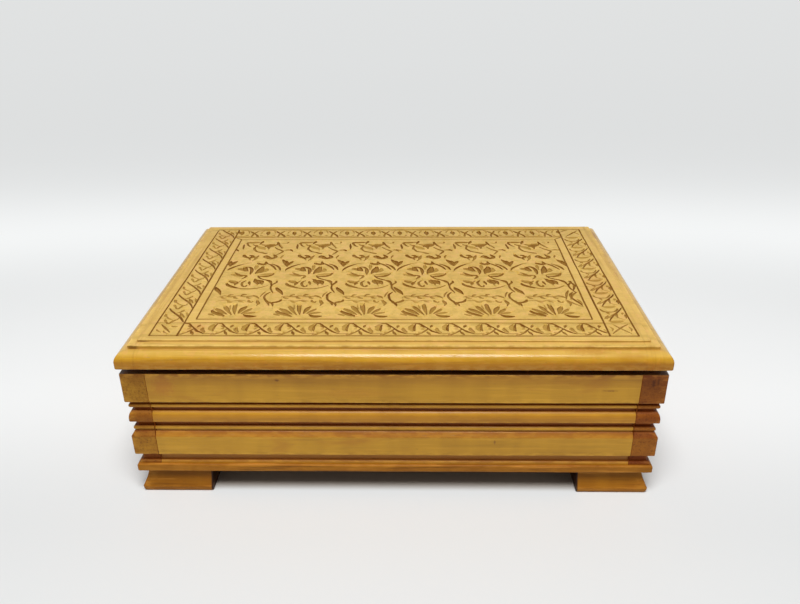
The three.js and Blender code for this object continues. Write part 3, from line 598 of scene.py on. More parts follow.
CORNER_LEAVES = [
    (0.7, [(-117.6, 75.6, 0.3), (-118.1, 73.6, 1.3), (-118.6, 71.8, 0.3)]),
    (0.8, [(-122.8, -64.6, 0.3), (-119.6, -68.8, 1.1), (-116.0, -73.2, 0.3)]),
    (0.5, [(-117.0, -66.0, 0.3), (-115.4, -67.2, 1.3), (-113.6, -67.0, 0.3)]),
    (0.5, [(-123.6, -70.0, 0.3), (-122.4, -72.0, 1.1), (-120.6, -73.4, 0.3)]),
    (0.45, [(-119.8, -71.6, 0.3), (-118.6, -73.6, 0.9), (-116.8, -74.6, 0.3)]),
    (0.6, [(113.0, -74.4, 0.3), (116.4, -70.6, 1.0), (120.4, -66.4, 0.9), (123.4, -64.2, 0.3)]),
    (0.6, [(115.4, -64.6, 0.3), (118.6, -69.0, 1.0), (122.6, -74.4, 0.3)]),
    (0.5, [(122.8, -67.0, 0.3), (123.8, -69.2, 1.1), (123.4, -71.4, 0.3)]),
    (0.45, [(113.0, -66.6, 0.3), (114.2, -69.0, 0.9), (113.4, -71.4, 0.3)]),
    (0.75, [(114.9, 63.8, 0.3), (119.6, 69.4, 1.2), (124.2, 74.6, 0.3)]),
    (0.55, [(112.4, 71.8, 0.3), (114.6, 74.2, 1.2), (117.6, 75.4, 0.3)]),
    (0.55, [(123.8, 66.6, 0.3), (122.4, 69.4, 1.0), (119.6, 72.6, 0.3)]),
    (0.9, [(-110.4, 73.6, 0.4), (-110.2, 71.4, 1.6), (-109.8, 69.4, 0.4)]),
]


# The carving's strokes
def smooth(points, spacing):
    """A Catmull-Rom curve through points that carry their width."""
    before = tuple(2 * a - b for a, b in zip(points[0], points[1]))
    after = tuple(2 * a - b for a, b in zip(points[-1], points[-2]))
    run = [before, *points, after]
    out = []
    for p0, p1, p2, p3 in zip(run, run[1:], run[2:], run[3:]):
        steps = max(2, round(math.dist(p1[:2], p2[:2]) / spacing))
        for i in range(steps):
            t = i / steps
            sample = []
            for a, b, c, d in zip(p0, p1, p2, p3):
                square = (2 * a - 5 * b + 4 * c - d) * t * t
                cube = (3 * b - a - 3 * c + d) * t**3
                sample.append(0.5 * (2 * b + (c - a) * t + square + cube))
            out.append(tuple(sample))
    out.append(points[-1])
    return out


def drawn_again(stroke, dx, dy, rng):
    """A stroke drawn elsewhere by hand, a little different each time."""
    tone, points = stroke
    made = []
    for x, y, width in points:
        wandered_x = x + dx + rng.uniform(-HAND, HAND)
        wandered_y = y + dy + rng.uniform(-HAND, HAND)
        made.append((wandered_x, wandered_y, STROKE_SPREAD + width * rng.uniform(*WIDTH_VARIES)))
    return min(1.0, tone * rng.uniform(*TONE_VARIES)), made


def clipped(points, window):
    """The samples of a stroke from its first to its last one inside a window."""
    x0, x1, y0, y1 = window
    inside = [x0 <= x <= x1 and y0 <= y <= y1 for x, y, _ in points]
    if not any(inside):
        return []
    first = inside.index(True)
    last = len(inside) - inside[::-1].index(True)
    return points[first:last]


def scribed(x0, y0, x1, y1, tone, width=LINE_WIDTH):
    """A scribed line as a stroke, with a point at every step for the hand's small wander."""
    steps = max(2, round(math.dist((x0, y0), (x1, y1)) / LINE_STEP))
    points = []
    for i in range(steps + 1):
        t = i / steps
        points.append((x0 + (x1 - x0) * t, y0 + (y1 - y0) * t, width))
    return tone, points


def frame_lines():
    """The scribed lines of the carving's frame."""
    lines = []
    for side in (-1, 1):
        band_inner = side * BAND_INNER_X
        band_outer = side * BAND_OUTER_X
        panel_side = side * PANEL_X
        lines.append(scribed(band_outer, BAND_FRONT, band_outer, BAND_BACK, 0.85, 1.0))
        lines.append(scribed(band_inner, BAND_FRONT, band_inner, BAND_BACK, 0.9, 1.05))
        lines.append(scribed(panel_side, PANEL_FRONT, panel_side, PANEL_BACK, 0.8, 0.95))
        lines.append(scribed(band_inner, BACK_BAND_FRONT, panel_side, PANEL_BACK, 0.9, 0.9))
        lines.append(scribed(band_inner, FRONT_BAND_BACK, band_outer, FRONT_BAND_BACK, 0.35))
    lines.append(scribed(-PANEL_X, PANEL_FRONT, PANEL_X, PANEL_FRONT, 0.75, 0.9))
    lines.append(scribed(-PANEL_X, PANEL_BACK, PANEL_X, PANEL_BACK, 0.5, 1.0))
    lines.append(scribed(-BAND_OUTER_X, BAND_BACK, BAND_OUTER_X, BAND_BACK, 0.5, 1.3))
    lines.append(scribed(-BAND_OUTER_X, BAND_FRONT, BAND_OUTER_X, BAND_FRONT, 0.7, 1.0))
    lines.append(scribed(-BAND_INNER_X, BACK_BAND_FRONT, BAND_INNER_X, BACK_BAND_FRONT, 0.5, 1.2))
    lines.append(scribed(-BAND_INNER_X, FRONT_BAND_BACK, BAND_INNER_X, FRONT_BAND_BACK, 0.6, 0.9))
    return lines


def all_strokes():
    """Every stroke on the lid, as its tone and its sampled points."""
    rng = random.Random(7)
    strokes = []

    def add(motif, dx, dy, window):
        for stroke in motif:
            tone, points = drawn_again(stroke, dx, dy, rng)
            kept = clipped(smooth(points, CUT_SAMPLE), window)
            if len(kept) > 2:
                strokes.append((tone, kept))

    panel_x = PANEL_X - MARGIN
    panel = (-panel_x, panel_x, PANEL_FRONT + MARGIN, PANEL_BACK - MARGIN)
    for middle in ROSETTE_MIDDLES:
        for motif in CELL_MOTIFS:
            add(motif, middle - DRAWN_MIDDLE, 0, panel)
        if middle > ROSETTE_MIDDLES[0]:
            add(HOOK_BETWEEN, middle - DRAWN_MIDDLE, 0, panel)
    # Past the last repeat, only the flower of the next one shows.
    add(FLOWER_BETWEEN, ROSETTE_MIDDLES[-1] + CELL_PITCH - DRAWN_MIDDLE, 0, panel)
    add(EDGE_SPRIGS, 0, 0, panel)
    inner = BAND_INNER_X - MARGIN
    for i in range(FRONT_CROSSINGS):
        window = (-inner, inner, BAND_FRONT + MARGIN, FRONT_BAND_BACK - FRONT_BAND_MARGIN)
        add(FRONT_VINE, FRONT_FIRST + i * FRONT_PITCH, 0, window)
    for i in range(BACK_BERRIES):
        window = (-inner, inner, BACK_BAND_FRONT + MARGIN, BAND_BACK - MARGIN)
        add(BACK_VINE, BACK_FIRST + i * BACK_PITCH, 0, window)
    near = BAND_INNER_X + MARGIN
    far = BAND_OUTER_X - MARGIN
    for i in range(LEFT_CELLS):
        window = (-far, -near, FRONT_BAND_BACK + MARGIN, BAND_BACK - MARGIN)
        add(LEFT_CELL, 0, LEFT_FIRST - i * LEFT_PITCH, window)
    for i in range(RIGHT_CELLS):
        window = (near, far, FRONT_BAND_BACK + MARGIN, BAND_BACK - MARGIN)
        add(RIGHT_CELL, 0, RIGHT_FIRST - i * RIGHT_PITCH, window)
    add(CORNER_LEAVES, 0, 0, (-BAND_OUTER_X, BAND_OUTER_X, BAND_FRONT, BAND_BACK))
    for tone, points in frame_lines():
        wandered = []
        for x, y, width in points:
            wandered_x = x + rng.uniform(-LINE_HAND, LINE_HAND)
            wandered_y = y + rng.uniform(-LINE_HAND, LINE_HAND)
            wandered.append((wandered_x, wandered_y, width * rng.uniform(*LINE_WIDTH_VARIES)))
        strokes.append((tone, smooth(wandered, LINE_SAMPLE)))
    return strokes


def within_strokes(xy, strokes):
    """For each stroke, its tone, the points near it, and how far inside its outline each of them lies."""
    for tone, points in strokes:
        line = np.array(points)
        low = line[:, :2].min(0) - CLEAR_OF_STROKES
        high = line[:, :2].max(0) + CLEAR_OF_STROKES
        near = np.nonzero(np.all((xy > low) & (xy < high), axis=1))[0]
        if not len(near):
            continue
        start = line[:-1, :2]
        along = line[1:, :2] - start
        length = np.maximum((along**2).sum(1), 1e-9)
        offset = xy[near][:, None, :] - start[None]
        t = np.clip((offset * along).sum(2) / length, 0, 1)
        distance = np.linalg.norm(offset - t[..., None] * along, axis=2)
        half = 0.5 * (line[:-1, 2] * (1 - t) + line[1:, 2] * t)
        yield tone, near, (half - distance).max(1)


def cut_depth(xy, strokes):
    """How deep the carving is at many points."""
    depth = np.zeros(len(xy))
    for tone, near, inside in within_strokes(xy, strokes):
        depth[near] = np.maximum(depth[near], np.clip(inside * CUT_SLOPE, 0, deepest_cut(tone)))
    return depth


def stain_share(xy, strokes):
    """How dark the stain is at many points: 0 outside the strokes, and up to 1 in the darkest ones."""
    stain = np.zeros(len(xy))
    for tone, near, inside in within_strokes(xy, strokes):
        dark = STAIN_LEAST + (1 - STAIN_LEAST) * tone
        on_floor = inside > deepest_cut(tone) / CUT_SLOPE
        here = dark * np.where(on_floor, STAIN_ON_FLOOR, 1)
        stain[near] = np.maximum(stain[near], np.where(inside > 0, here, 0))
    return stain


def deepest_cut(tone):
    """How deep a stroke is cut at most: darker strokes are deeper."""
    return CUT_DEPTH * (LIGHTEST_CUT + (1 - LIGHTEST_CUT) * tone)


# Mesh helpers
def arc(centre, radii, start, end, steps):
    """Points along part of an ellipse, with the angles in degrees."""
    points = []
    for i in range(steps + 1):
        angle = math.radians(start + (end - start) * i / steps)
        x = centre[0] + radii[0] * math.cos(angle)
        y = centre[1] + radii[1] * math.sin(angle)
        points.append((x, y))
    return points


def bent(start, control, end, steps):
    """Points along a curve from start to end that is drawn towards the control point."""
    points = []
    for i in range(steps + 1):
        t = i / steps
        points.append(start * (1 - t) ** 2 + control * 2 * t * (1 - t) + end * t * t)
    return points


def softened(points):
    """An open outline whose sharp corners are rounded off, and whose long runs are divided."""
    run = [Vector(p) for p in points]
    run = [a for a, b in zip(run, [None, *run]) if b is None or (a - b).length > 1e-4]
    out = [run[0]]
    for before, here, after in zip(run, run[1:], run[2:]):
        turn = math.degrees((here - before).angle(after - here))
        if turn < SHARPEST_SMOOTH_TURN:
            out.append(here)
            continue
        entry = min(ARRIS, 0.45 * (here - before).length)
        leave = min(ARRIS, 0.45 * (after - here).length)
        first = here + (before - here).normalized() * entry
        last = here + (after - here).normalized() * leave
        out += bent(first, here, last, ARRIS_STEPS)
    out.append(run[-1])
    divided = [out[0]]
    for a, b in zip(out, out[1:]):
        parts = max(1, math.ceil((b - a).length / LEVEL))
        divided += [a.lerp(b, i / parts) for i in range(1, parts + 1)]
    return [tuple(p) for p in divided]


def shelter(points):
    """How hidden each point of a profile is, from 0 on an open face to 1 at the bottom of a crack."""
    profile = [Vector((-inset, height)) for inset, height in points]
    hidden = []
    for i, here in enumerate(profile):
        before = profile[max(i - 1, 0)]
        after = profile[min(i + 1, len(profile) - 1)]
        along = (after - before).normalized()
        out = Vector((along.y, -along.x))
        start = here + out * OFF_THE_FACE
        blocked = 0
        for ray in range(SHELTER_RAYS):
            angle = math.pi * ((ray + 0.5) / SHELTER_RAYS - 0.5)
            way = out * math.cos(angle) + along * math.sin(angle)
            for a, b in zip(profile, profile[1:]):
                side = b - a
                cross = way.x * side.y - way.y * side.x
                if abs(cross) < 1e-9:
                    continue
                gap = a - start
                t = (gap.x * side.y - gap.y * side.x) / cross
                u = (gap.x * way.y - gap.y * way.x) / cross
                if 0 < t < SHELTER_REACH and 0 <= u <= 1:
                    blocked += 1
                    break
        hidden.append(blocked / SHELTER_RAYS)
    return hidden


def arris_wear_and_highlight(points):
    """How rubbed each point of a profile is, as wear and as a painted highlight: 1 on a sharp outward arris,
    0 on a flat or hollow place.
    """
    profile = [Vector((-inset, height)) for inset, height in points]
    wear_and_highlight = []
    for i, here in enumerate(profile):
        before = next((p for p in profile[i::-1] if (p - here).length > WEAR_REACH), profile[0])
        after = next((p for p in profile[i:] if (p - here).length > WEAR_REACH), profile[-1])
        first = here - before
        second = after - here
        turn = math.atan2(first.cross(second), first.dot(second)) if first.length and second.length else 0
        wear_and_highlight.append(min(1, max(0, turn / (math.pi / 2))))
    return wear_and_highlight


def rectangle(half_x, half_y, full_x, full_y, radius=CORNER_RADIUS):
    """Points round a rectangle with small round corners. The full sizes settle how many there are."""
    corners = ((1, -1, -90), (1, 1, 0), (-1, 1, 90), (-1, -1, 180))
    count_x = max(2, round(2 * full_x / STATION))
    count_y = max(2, round(2 * full_y / STATION))
    points = []
    for i, (sign_x, sign_y, start) in enumerate(corners):
        centre = (sign_x * (half_x - radius), sign_y * (half_y - radius))
        turned = arc(centre, (radius, radius), start, start + 90, 3)
        points += turned
        next_x, next_y, _ = corners[(i + 1) % 4]
        count = count_y if i % 2 == 0 else count_x
        first = Vector(turned[-1])
        next_start = math.radians(start + 90)
        last = Vector(
            (
                next_x * (half_x - radius) + radius * math.cos(next_start),
                next_y * (half_y - radius) + radius * math.sin(next_start),
            )
        )
        points += [tuple(first.lerp(last, k / count)) for k in range(1, count)]
    return points


def start_mesh():
    """An empty bmesh with values at each point for dirt with painted shade, and for wear with painted
    highlight.
    """
    bm = bmesh.new()
    for name in ("dirt_and_shade", "wear_and_highlight"):
        bm.verts.layers.float.new(name)
    return bm


def add_rings(bm, rings, profile=None, corners=(), closed=True):
    """Joins rings that have as many points each with four-sided faces, and marks dirt with painted shade,
    and wear with painted highlight.
    """
    dirt_and_shade = bm.verts.layers.float["dirt_and_shade"]
    wear_and_highlight = bm.verts.layers.float["wear_and_highlight"]
    hidden = shelter(profile) if profile else [0] * len(rings)
    rubbed = arris_wear_and_highlight(profile) if profile else [0] * len(rings)
    made = []
    for i, ring in enumerate(rings):
        verts = [bm.verts.new(p) for p in ring]
        for k, vert in enumerate(verts):
            vert[dirt_and_shade] = hidden[i]
            vert[wear_and_highlight] = max(rubbed[i], CORNER_WEAR_AND_HIGHLIGHT * (1 - hidden[i]) if k in corners else 0)
        made.append(verts)
    for low, high in zip(made, made[1:]):
        pairs = list(zip(low, low[1:], high[1:], high))
        if closed:
            pairs.append((low[-1], low[0], high[0], high[-1]))
        for four in pairs:
            bm.faces.new(four)
    return made


def undulate(bm, heights=CASE_WAVES):
    """Moves each point a little along its normal, as on wood that was planed and sanded by hand."""
    bm.normal_update()
    for vert in bm.verts:
        short = noise.noise(Vector(vert.co) / SHORT_WAVE)
        long = noise.noise(Vector(vert.co) / LONG_WAVE + Vector((5, 3, 1)))
        vert.co += vert.normal * (heights[0] * short + heights[1] * long)


def make_piece(name, bm, nodes, body, materials, smooth_angle=40):
    """A piece from a bmesh in millimetres that stands for construction nodes."""
    bmesh.ops.recalc_face_normals(bm, faces=bm.faces)
    bmesh.ops.scale(bm, vec=(MM, MM, MM), verts=bm.verts)
    mesh = bpy.data.meshes.new(name)
    bm.to_mesh(mesh)
    bm.free()
    for material in materials:
        mesh.materials.append(material)
    mesh.shade_smooth()
    mesh.set_sharp_from_angle(angle=math.radians(smooth_angle))
    piece = bpy.data.objects.new(name, mesh)
    bpy.context.scene.collection.objects.link(piece)
    modifier = piece.modifiers.new("even shading", "WEIGHTED_NORMAL")
    modifier.keep_sharp = True
    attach(piece, body)
    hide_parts(*nodes)
    return piece


# Profiles, as points of depth behind the outer face and height
def bead(depth, height, bead_height):
    """A half-round bead that stands on a height."""
    radius = bead_height / 2
    return arc((depth + radius, height + radius), (-radius, radius), -90, 90, 8)


def wall_profile():
    """The wall moulding from bottom to top."""
    height = WALL_BOTTOM
    points = [(FILLET_DEPTH, height)]
    height += FILLET_HEIGHT
    points += arc((RECESS_DEPTH, height), (FILLET_DEPTH - RECESS_DEPTH, FILLET_COVE), 0, 90, 4)
    height = WALL_TOP - UPPER_BAND_HEIGHT - UPPER_QUIRK_HEIGHT - UPPER_BEAD_HEIGHT - MIDDLE_QUIRK_HEIGHT
    height -= OVOLO_HEIGHT + LOWER_QUIRK_HEIGHT + LOWER_BEAD_HEIGHT + THIN_QUIRK_HEIGHT
    height -= CHAMFER_HEIGHT + LOWER_BAND_HEIGHT
    points += [(RECESS_DEPTH, height), (0, height)]
    height += LOWER_BAND_HEIGHT
    points.append((0, height))
    height += CHAMFER_HEIGHT
    points += [(CHAMFER_DEPTH, height), (THIN_QUIRK_DEPTH, height)]
    height += THIN_QUIRK_HEIGHT
    points.append((THIN_QUIRK_DEPTH, height))
    points += bead(LOWER_BEAD_DEPTH, height, LOWER_BEAD_HEIGHT)
    height += LOWER_BEAD_HEIGHT
    points.append((LOWER_QUIRK_DEPTH, height))
    height += LOWER_QUIRK_HEIGHT
    points += [(LOWER_QUIRK_DEPTH, height), (OVOLO_BOTTOM_DEPTH, height)]
    curve_base = height + OVOLO_HEIGHT - OVOLO_CURVE_HEIGHT
    radii = (OVOLO_BOTTOM_DEPTH - OVOLO_TOP_DEPTH, OVOLO_CURVE_HEIGHT)
    points += arc((OVOLO_TOP_DEPTH, curve_base), radii, 0, 90, 10)
    height += OVOLO_HEIGHT
    points.append((MIDDLE_QUIRK_DEPTH, height))
    height += MIDDLE_QUIRK_HEIGHT
    points.append((MIDDLE_QUIRK_DEPTH, height))
    points += bead(UPPER_BEAD_DEPTH, height, UPPER_BEAD_HEIGHT)
    height += UPPER_BEAD_HEIGHT
    points.append((UPPER_QUIRK_DEPTH, height))
    height += UPPER_QUIRK_HEIGHT
    points += [(UPPER_QUIRK_DEPTH, height), (0, height), (0, WALL_TOP)]
    return points


def base_profile():
    """The base plate's edge from bottom to top, softened more above than below."""
    low = BASE_BOTTOM_SOFTENING
    high = BASE_TOP_SOFTENING
    bottom = arc((low, FOOT_TOP + low), (-low, low), -90, 0, 5)
    return bottom + arc((high, WALL_BOTTOM - high), (-high, high), 0, 90, 6)


def lid_profile():
    """The lid's edge from the underside to the top: arris, side, round and two steps."""
    soft = LID_UNDER_SOFTENING
    round_centre = LID_BOTTOM + LID_SIDE_HEIGHT
    tread = LID_TOP - LID_FIRST_STEP_DROP
    points = arc((soft, LID_BOTTOM + soft), (-soft, soft), -90, 0, 5)
    points += arc((LID_ROUND_RADIUS, round_centre), (-LID_ROUND_RADIUS, LID_ROUND_RADIUS), 0, 90, 14)
    points += [(LID_SECOND_STEP_IN, round_centre + LID_ROUND_RADIUS), (LID_SECOND_STEP_IN, tread)]
    points += [(LID_FIRST_STEP_IN, tread), (LID_FIRST_STEP_IN, LID_TOP)]
    return softened([*points, (LID_FIRST_STEP_IN + 2 * ARRIS, LID_TOP)])[:-1]


def foot_profile():
    """A foot's outer side from bottom to top."""
    toe = Vector((FOOT_TOE_DEPTH + FOOT_TOE_ROUNDING, 0))
    heel = Vector((FOOT_TOE_DEPTH, 0))
    bend = Vector((FOOT_TOE_DEPTH, FOOT_TOE_HEIGHT))
    waist = Vector((FOOT_WAIST_DEPTH, FOOT_WAIST_HEIGHT))
    top = Vector((FOOT_TOP_DEPTH, FOOT_TOP))
    points = []
    for start, control, end, steps in ((toe, heel, bend, 6), (bend, waist, top, 8)):
        points += [tuple(point) for point in bent(start, control, end, steps)]
    return points


# The pieces
def level(verts, height):
    """Puts points back on a flat height after their surface was given its waves."""
    for vert in verts:
        vert.co.z = height


def pierced_face(bm, rim, holes, height, depth):
    """A flat face inside a rim with round blind holes that reach up into the piece."""
    points = [(v.co.x, v.co.y) for v in rim]
    edges = [(i, (i + 1) % len(rim)) for i in range(len(rim))]
    radius = SCREW_HEAD_RADIUS + SCREW_CLEARANCE
    mouths = []
    for x, y in holes:
        start = len(points)
        ring = arc((x, y), (radius, radius), 0, 360, 32)[:-1]
        points += ring
        edges += [(start + k, start + (k + 1) % len(ring)) for k in range(len(ring))]
        mouths.append([bm.verts.new((*p, height)) for p in ring])
    made, _, faces, originals, _, _ = delaunay_2d_cdt([Vector(p) for p in points], edges, [], 0, 1e-4)
    known = list(rim) + [v for mouth in mouths for v in mouth]
    verts = [known[min(which)] for which in originals]
    for face in faces:
        middle = sum((made[i] for i in face), Vector((0, 0))) / 3
        if all((middle - Vector(hole)).length > radius for hole in holes):
            bm.faces.new([verts[i] for i in face])
    for mouth in mouths:
        ends = [bm.verts.new((v.co.x, v.co.y, height + depth)) for v in mouth]
        for k, end in enumerate(ends):
            bm.faces.new((mouth[k - 1], mouth[k], end, ends[k - 1]))
        close_face(bm, ends)


def close_face(bm, verts):
    """One flat face over a loop, split into triangles."""
    face = bm.faces.new(verts)
    return bmesh.ops.triangulate(bm, faces=[face])["faces"]


def make_lid(materials):
    """The lid: its moulded edge, its flat underside and its carved top."""
    bm = start_mesh()
    profile = lid_profile()
    rings = []
    for inset, height in profile:
        outline = rectangle(LID_HALF_LENGTH - inset, LID_HALF_DEPTH - inset, LID_HALF_LENGTH, LID_HALF_DEPTH)
        rings.append([(x, y, height) for x, y in outline])
    edge = add_rings(bm, rings, profile)
    close_face(bm, edge[0])
    undulate(bm, LID_WAVES)
    level(edge[0], LID_BOTTOM)
    level(edge[-1], LID_TOP)

    strokes = all_strokes()
    rim = [(v.co.x, v.co.y) for v in edge[-1]]
    points = list(rim)
    edges = [(i, (i + 1) % len(rim)) for i in range(len(rim))]
    for tone, line in strokes:
        rails = stroke_rails(line, deepest_cut(tone) / CUT_SLOPE)
        for rail in rails:
            start = len(points)
            points += rail
            edges += [(i, i + 1) for i in range(start, len(points) - 1)]
    hold_x = LID_HALF_LENGTH - profile[-1][0] - RIM_HOLD
    hold_y = LID_HALF_DEPTH - profile[-1][0] - RIM_HOLD
    points += rectangle(hold_x, hold_y, LID_HALF_LENGTH, LID_HALF_DEPTH)
    points += filler_points(strokes)
    made, _, faces, originals, _, _ = delaunay_2d_cdt([Vector(p) for p in points], edges, [], 0, 1e-4)
    xy = np.array([tuple(p) for p in made])
    depth = cut_depth(xy, strokes)
    verts = []
    for i, place in enumerate(made):
        rim_index = next((k for k in originals[i] if k < len(rim)), None)
        if rim_index is not None:
            verts.append(edge[-1][rim_index])
            continue
        swell = TOP_SWELL * noise.noise(Vector((place.x, place.y, 0)) / SWELL_LENGTH)
        verts.append(bm.verts.new((place.x, place.y, LID_TOP + swell - depth[i])))
    stain_layer = bm.faces.layers.float.new("stain")
    centres = xy[np.array(faces)].mean(1)
    for indices, dark in zip(faces, stain_share(centres, strokes)):
        face = bm.faces.new([verts[i] for i in indices])
        face[stain_layer] = dark
    return make_piece("lid_carved", bm, ["lid_panel"], "lid", materials, 32)


def stroke_rails(line, wall):
    """The lines that a stroke's cut follows: edges, middle, and the feet of its slopes where it is wide."""
    left = []
    right = []
    left_foot = []
    right_foot = []
    middle = []
    for i, (x, y, width) in enumerate(line):
        before = line[max(i - 1, 0)]
        after = line[min(i + 1, len(line) - 1)]
        way = Vector((after[0] - before[0], after[1] - before[1]))
        if way.length < 1e-6:
            continue
        across = Vector((-way.y, way.x)).normalized()
        here = Vector((x, y))
        half = max(width, NARROWEST_CUT) / 2
        left.append(tuple(here + across * half))
        right.append(tuple(here - across * half))
        middle.append((x, y))
        if half > FLOORED_FROM * wall:
            left_foot.append(tuple(here + across * (half - wall)))
            right_foot.append(tuple(here - across * (half - wall)))
    rails = [[*left, *reversed(right), left[0]], middle]
    if len(left_foot) > 1:
        rails += [left_foot, right_foot]
    return rails


def filler_points(strokes):
    """Points between the strokes, so that the top can swell a little."""
    rng = random.Random(11)
    reach_x = LID_HALF_LENGTH - LID_FIRST_STEP_IN - TOP_GRID
    reach_y = LID_HALF_DEPTH - LID_FIRST_STEP_IN - TOP_GRID
    count_x = round(2 * reach_x / TOP_GRID)
    count_y = round(2 * reach_y / TOP_GRID)
    grid = []
    for i in range(count_x + 1):
        for j in range(count_y + 1):
            x = -reach_x + 2 * reach_x * i / count_x + rng.uniform(-TOP_GRID_SCATTER, TOP_GRID_SCATTER)
            y = -reach_y + 2 * reach_y * j / count_y + rng.uniform(-TOP_GRID_SCATTER, TOP_GRID_SCATTER)
            grid.append((x, y))
    crowded = set()
    for _, near, inside in within_strokes(np.array(grid), strokes):
        crowded.update(near[inside > -CLEAR_OF_STROKES])
    return [p for i, p in enumerate(grid) if i not in crowded]


def board_section(profile):
    """A front or back wall's closed outline, from the profile over the top to the inner face."""
    top = [(WALL_THICKNESS * k / 4, WALL_TOP) for k in (1, 2, 3, 4)]
    return [*profile, *top, (WALL_THICKNESS, WALL_BOTTOM)]


def make_long_wall(node, sign, materials):
    """The front or back wall: the moulding pushed along X between the side walls."""
    bm = start_mesh()
    profile = softened([*wall_profile(), (2 * ARRIS, WALL_TOP)])
    section = board_section(profile)
    spare = [0] * (len(section) - len(profile))
    values = {"dirt_and_shade": shelter(profile) + spare, "wear_and_highlight": arris_wear_and_highlight(profile) + spare}
    reach = HALF_LENGTH - WALL_THICKNESS - GLUE_LINE
    stations = [-reach, -reach + JOINT_CHAMFER]
    parts = round(2 * reach / STATION)
    stations += [-reach + 2 * reach * i / parts for i in range(1, parts)]
    stations += [reach - JOINT_CHAMFER, reach]
    rings = []
    for x in stations:
        end = JOINT_CHAMFER if abs(x) == reach else 0
        ring = []
        for i, (inset, height) in enumerate(section):
            shrink = end if i < len(profile) else 0
            ring.append((x, sign * (HALF_DEPTH - inset - shrink), height))
        rings.append(ring)
    made = add_rings(bm, rings)
    for layer_name, value_list in values.items():
        layer = bm.verts.layers.float[layer_name]
        for ring in made:
            for vert, value in zip(ring, value_list):
                vert[layer] = value
    dirt_and_shade = bm.verts.layers.float["dirt_and_shade"]
    for vert in [*made[0], *made[-1]]:
        vert[dirt_and_shade] = 1
    close_face(bm, made[0])
    close_face(bm, made[-1])
    undulate(bm)
    for ring in made:
        level([vert for vert, (_, height) in zip(ring, section) if height == WALL_TOP], WALL_TOP)
    return make_piece(f"{node}_shaped", bm, [node], "case", materials)


def make_side_wall(node, sign, materials):
    """A side wall: the moulding led round both corners, with end grain where the board ends show."""
    bm = start_mesh()
    profile = softened([*wall_profile(), (2 * ARRIS, WALL_TOP)])
    inner = HALF_LENGTH - WALL_THICKNESS
    rings = []
    for inset, height in profile:
        face = HALF_LENGTH - inset
        end = HALF_DEPTH - inset
        radius = CORNER_RADIUS
        front = [
            (inner, -end + JOINT_CHAMFER),
            (inner + JOINT_CHAMFER, -end),
            (inner + WALL_THICKNESS / 3, -end),
            (inner + WALL_THICKNESS / 1.6, -end),
        ]
        corner = arc((face - radius, -end + radius), (radius, radius), -90, 0, 4)
        count = round(2 * HALF_DEPTH / STATION)
        first = Vector((face, -end + radius))
        last = Vector((face, end - radius))
        side = [tuple(first.lerp(last, k / count)) for k in range(1, count)]
        near_half = front + corner
        ring = near_half + side + [(x, -y) for x, y in reversed(near_half)]
        rings.append([(sign * x, y, height) for x, y in ring])
    corners = range(len(front), len(near_half))
    far_corners = range(len(ring) - len(near_half), len(ring) - len(front))
    made = add_rings(bm, rings, profile, (*corners, *far_corners), closed=False)
    close_face(bm, made[0])
    close_face(bm, made[-1])
    dirt_and_shade = bm.verts.layers.float["dirt_and_shade"]
    for ring in made:
        ring[0][dirt_and_shade] = 1
        ring[-1][dirt_and_shade] = 1
    column = [ring[0] for ring in made] + [ring[-1] for ring in reversed(made)]
    close_face(bm, column)
    bm.normal_update()
    for face in bm.faces:
        middle = face.calc_center_median()
        at_end = abs(middle.y) > HALF_DEPTH - RECESS_DEPTH - 1
        behind_face = abs(middle.x) < HALF_LENGTH - RECESS_DEPTH - 1
        if at_end and (abs(face.normal.y) > 0.6 or behind_face):
            face.material_index = 1
    undulate(bm)
    for ring, (_, height) in zip(made, profile):
        if height == WALL_TOP:
            level(ring, WALL_TOP)
    return make_piece(f"{node}_shaped", bm, [node], "case", materials)


def make_base(materials):
    """The base plate, with the holes for the screws that hold the walls."""
    bm = start_mesh()
    profile = softened([(BASE_RIM, FOOT_TOP), *base_profile(), (BASE_RIM, WALL_BOTTOM)])
    rings = []
    for inset, height in profile:
        outline = rectangle(HALF_LENGTH - inset, HALF_DEPTH - inset, HALF_LENGTH, HALF_DEPTH)
        rings.append([(x, y, height) for x, y in outline])
    made = add_rings(bm, rings, profile)
    undulate(bm)
    level(made[0], FOOT_TOP)
    level(made[-1], WALL_BOTTOM)
    screws = [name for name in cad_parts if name.startswith("wall_") and "screw" in name]
    depth = CASE_SCREW_HEAD + SCREW_HEAD_HEIGHT - FOOT_TOP + SCREW_CLEARANCE
    pierced_face(bm, made[0], [screw_middle(name) for name in screws], FOOT_TOP, depth)
    close_face(bm, made[-1])
    return make_piece("base_board", bm, ["base_plate"], "case", materials)


def screw_middle(name):
    """The place of a screw's middle along X and Y."""
    low, high = node_box(name)
    return (low.x + high.x) / 2, (low.y + high.y) / 2


